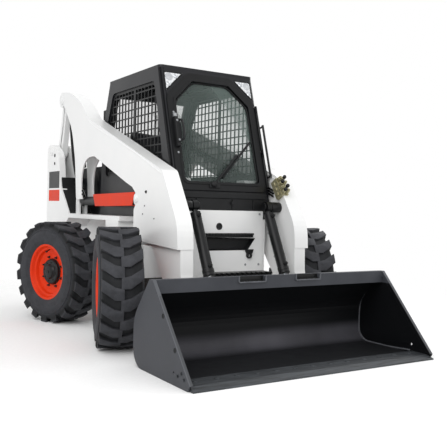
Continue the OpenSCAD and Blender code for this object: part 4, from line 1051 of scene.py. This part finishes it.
makePiece("bucket_tread_rims", rims, "bucket", "thinWeldPaint", 0.002)
# attachment levers over the hitch plate, leaning inwards clear of the tilt rods
hitchLever = {"handle": ((250, -548, 270), (250, -540, 330), (220, -536, 400), (160, -530, 430)),
              "radius": 0.011, "pivot": (250, -540, 268)}
bm = bmesh.new()
for sideSign in (1, -1):
    handle = [place(sideSign * x, y, z) for x, y, z in hitchLever["handle"]]
    addTube(bm, roundPath(handle, 0.03), hitchLever["radius"], 12)
    x, y, z = hitchLever["pivot"]
    addTurned(bm, [(-0.02, 0.024), (0.02, 0.024)], turnTo(place(sideSign * x, y, z), Vector((0, 1, 0))), 24)
makePiece("hitch_levers", bm, "bucket", "blackChassisEnamel", 0.002)
print("bucket dressed")

# cylinders: gland rings, and the two ports of each tilt barrel
lift = {"base": Vector((0, 1580, 1020)), "eye": Vector((0, 270, 1040)), "x": 493.5, "length": 1180,
        "radius": 38, "ports": ()}
tilt = {"base": Vector((0, -190, 1000)), "eye": Vector((0, -490, 398)), "x": 320, "length": 540, "radius": 38,
        "ports": (0.17, 0.88), "line": ((0.16, 30), (0.16, 54), (0.9, 54), (0.9, 30)), "clips": (0.35, 0.7)}
for word, spec in (("lift", lift), ("tilt", tilt)):
    bm = bmesh.new()
    way = (spec["eye"] - spec["base"]).normalized()
    for sideSign in (1, -1):
        end = spec["base"] + way * (spec["length"] - 52)
        radius = spec["radius"] / 1000
        low, high = radius + 0.002, radius + 0.004
        gland = turnTo(place(sideSign * spec["x"], end.y, end.z), way)
        addTurned(bm, [(0, radius), (0.002, high), (0.026, high), (0.028, low), (0.034, low), (0.036, high),
                       (0.05, high), (0.053, radius)], gland, 40, True)
        for share in spec["ports"]:
            upward = Vector((0, way.z, -way.y))
            upward = upward if upward.z > 0 else -upward
            seat = spec["base"] + way * spec["length"] * share + upward * (spec["radius"] - 4)
            addTurned(bm, [(0, 0.015), (0.014, 0.015), (0.016, 0.011), (0.024, 0.011), (0.026, 0.009)],
                      turnTo(place(sideSign * spec["x"], seat.y, seat.z), upward), 20)
    makePiece(word + "_glands", bm, word + "_barrel", "blackChassisEnamel", 0.0008)
# steel line behind each tilt barrel, between its two ports, in two clips
bm = bmesh.new()
way = (tilt["eye"] - tilt["base"]).normalized()
behind = Vector((0, -way.z, way.y))
for sideSign in (1, -1):
    points = [tilt["base"] + way * tilt["length"] * share + behind * away for share, away in tilt["line"]]
    addTube(bm, roundPath([place(sideSign * tilt["x"], p.y, p.z) for p in points], 0.02), 0.0065, 12)
    for share in tilt["clips"]:
        clip = tilt["base"] + way * tilt["length"] * share + behind * 36
        addTurned(bm, [(0, 0.009), (0.026, 0.009), (0.028, 0.007)],
                  turnTo(place(sideSign * tilt["x"], clip.y, clip.z), behind), 16)
makePiece("tilt_lines", bm, "tilt_barrel", "zincPlate")
print("cylinders dressed")

# rear door: latch plate with its pull, and two hinge straps
tailgate = {"latch": [(-346, 760), (-290, 760), (-290, 860), (-346, 860)], "straps": (560, 940), "face": 2258,
            "pull": ((-330, 2264, 790), (-330, 2271, 790), (-330, 2271, 846), (-330, 2264, 846))}
bm = bmesh.new()
addPrism(bm, tailgate["latch"], tailgate["face"], tailgate["face"] + 10, frontPlane)
addTube(bm, roundPath([place(*p) for p in tailgate["pull"]], 0.004), 0.006, 10)
for z in tailgate["straps"]:
    addPrism(bm, [(300, z), (356, z), (356, z + 60), (300, z + 60)], tailgate["face"], tailgate["face"] + 8,
             frontPlane)
makePiece("tailgate_fittings", bm, "rear_door", "blackChassisEnamel", 0.002)
# pressed louvres over the rear door's cuts: each stands out at its lower edge, over a dark slot
louvre = {"half": 260, "first": 620, "step": 70, "count": 8, "high": 40, "skin": 2262, "out": 7}
bm = bmesh.new()
slots = bmesh.new()
for i in range(louvre["count"]):
    z, skin = louvre["first"] + louvre["step"] * i, louvre["skin"]
    addPrism(bm, [(skin - 1, z + 6), (skin + louvre["out"], z + 6), (skin + louvre["out"], z + 10),
                  (skin + 3, z + louvre["high"] - 8), (skin - 1, z + louvre["high"])], -louvre["half"],
             louvre["half"], sidePlane)
    addBlock(slots, (-louvre["half"] + 6, skin - 1, z - 6), (louvre["half"] - 6, skin + 0.6, z + 7), plain)
makePiece("tailgate_louvres", bm, "rear_door", "whitePowderCoat", 0.002)
makePiece("louvre_slots", slots, "rear_door", "sealRubber")
# rubber bezel round each tail lamp
bezel = {"x": (478, 562), "y": 2264, "low": 998, "high": 1162, "radius": 0.006}
bm = bmesh.new()
for sideSign in (1, -1):
    x0, x1 = sorted(sideSign * x for x in bezel["x"])
    low, high, middle = bezel["low"], bezel["high"], (x0 + x1) / 2
    ring = [(middle, low), (x1, low), (x1, high), (x0, high), (x0, low), (middle, low)]
    addTube(bm, roundPath([place(x, bezel["y"], z) for x, z in ring], 0.008)[:-1], bezel["radius"], 8, True)
makePiece("tail_lamp_bezels", bm, "chassis", "sealRubber")
# exhaust stack and raised slats on the hood
hood = {"top": 1333, "stack": (230, 1720), "slats": 9, "first": 1800, "pitch": 36, "half": 180, "rise": 8}
bm = bmesh.new()
stack = Matrix.Translation(place(*hood["stack"], hood["top"])) @ Matrix.Rotation(-math.pi / 2, 4, "Y")
addTurned(bm, [(0, 0.05), (0.006, 0.05), (0.008, 0.036), (0.09, 0.036), (0.1, 0.04), (0.14, 0.04),
               (0.14, 0.035), (0.05, 0.034), (0.05, 0)], stack, 40)
makePiece("exhaust", bm, "chassis", "paintedCastIron")
bm = bmesh.new()
for i in range(hood["slats"]):
    y, low, high = hood["first"] + hood["pitch"] * i, hood["top"], hood["top"] + hood["rise"]
    addPrism(bm, [(y, low), (y + 24, high), (y + 26, high), (y + 26, low)], -hood["half"], hood["half"],
             sidePlane)
makePiece("hood_slats", bm, "chassis", "charcoalTexturePaint", 0.001)
print("rear dressed")
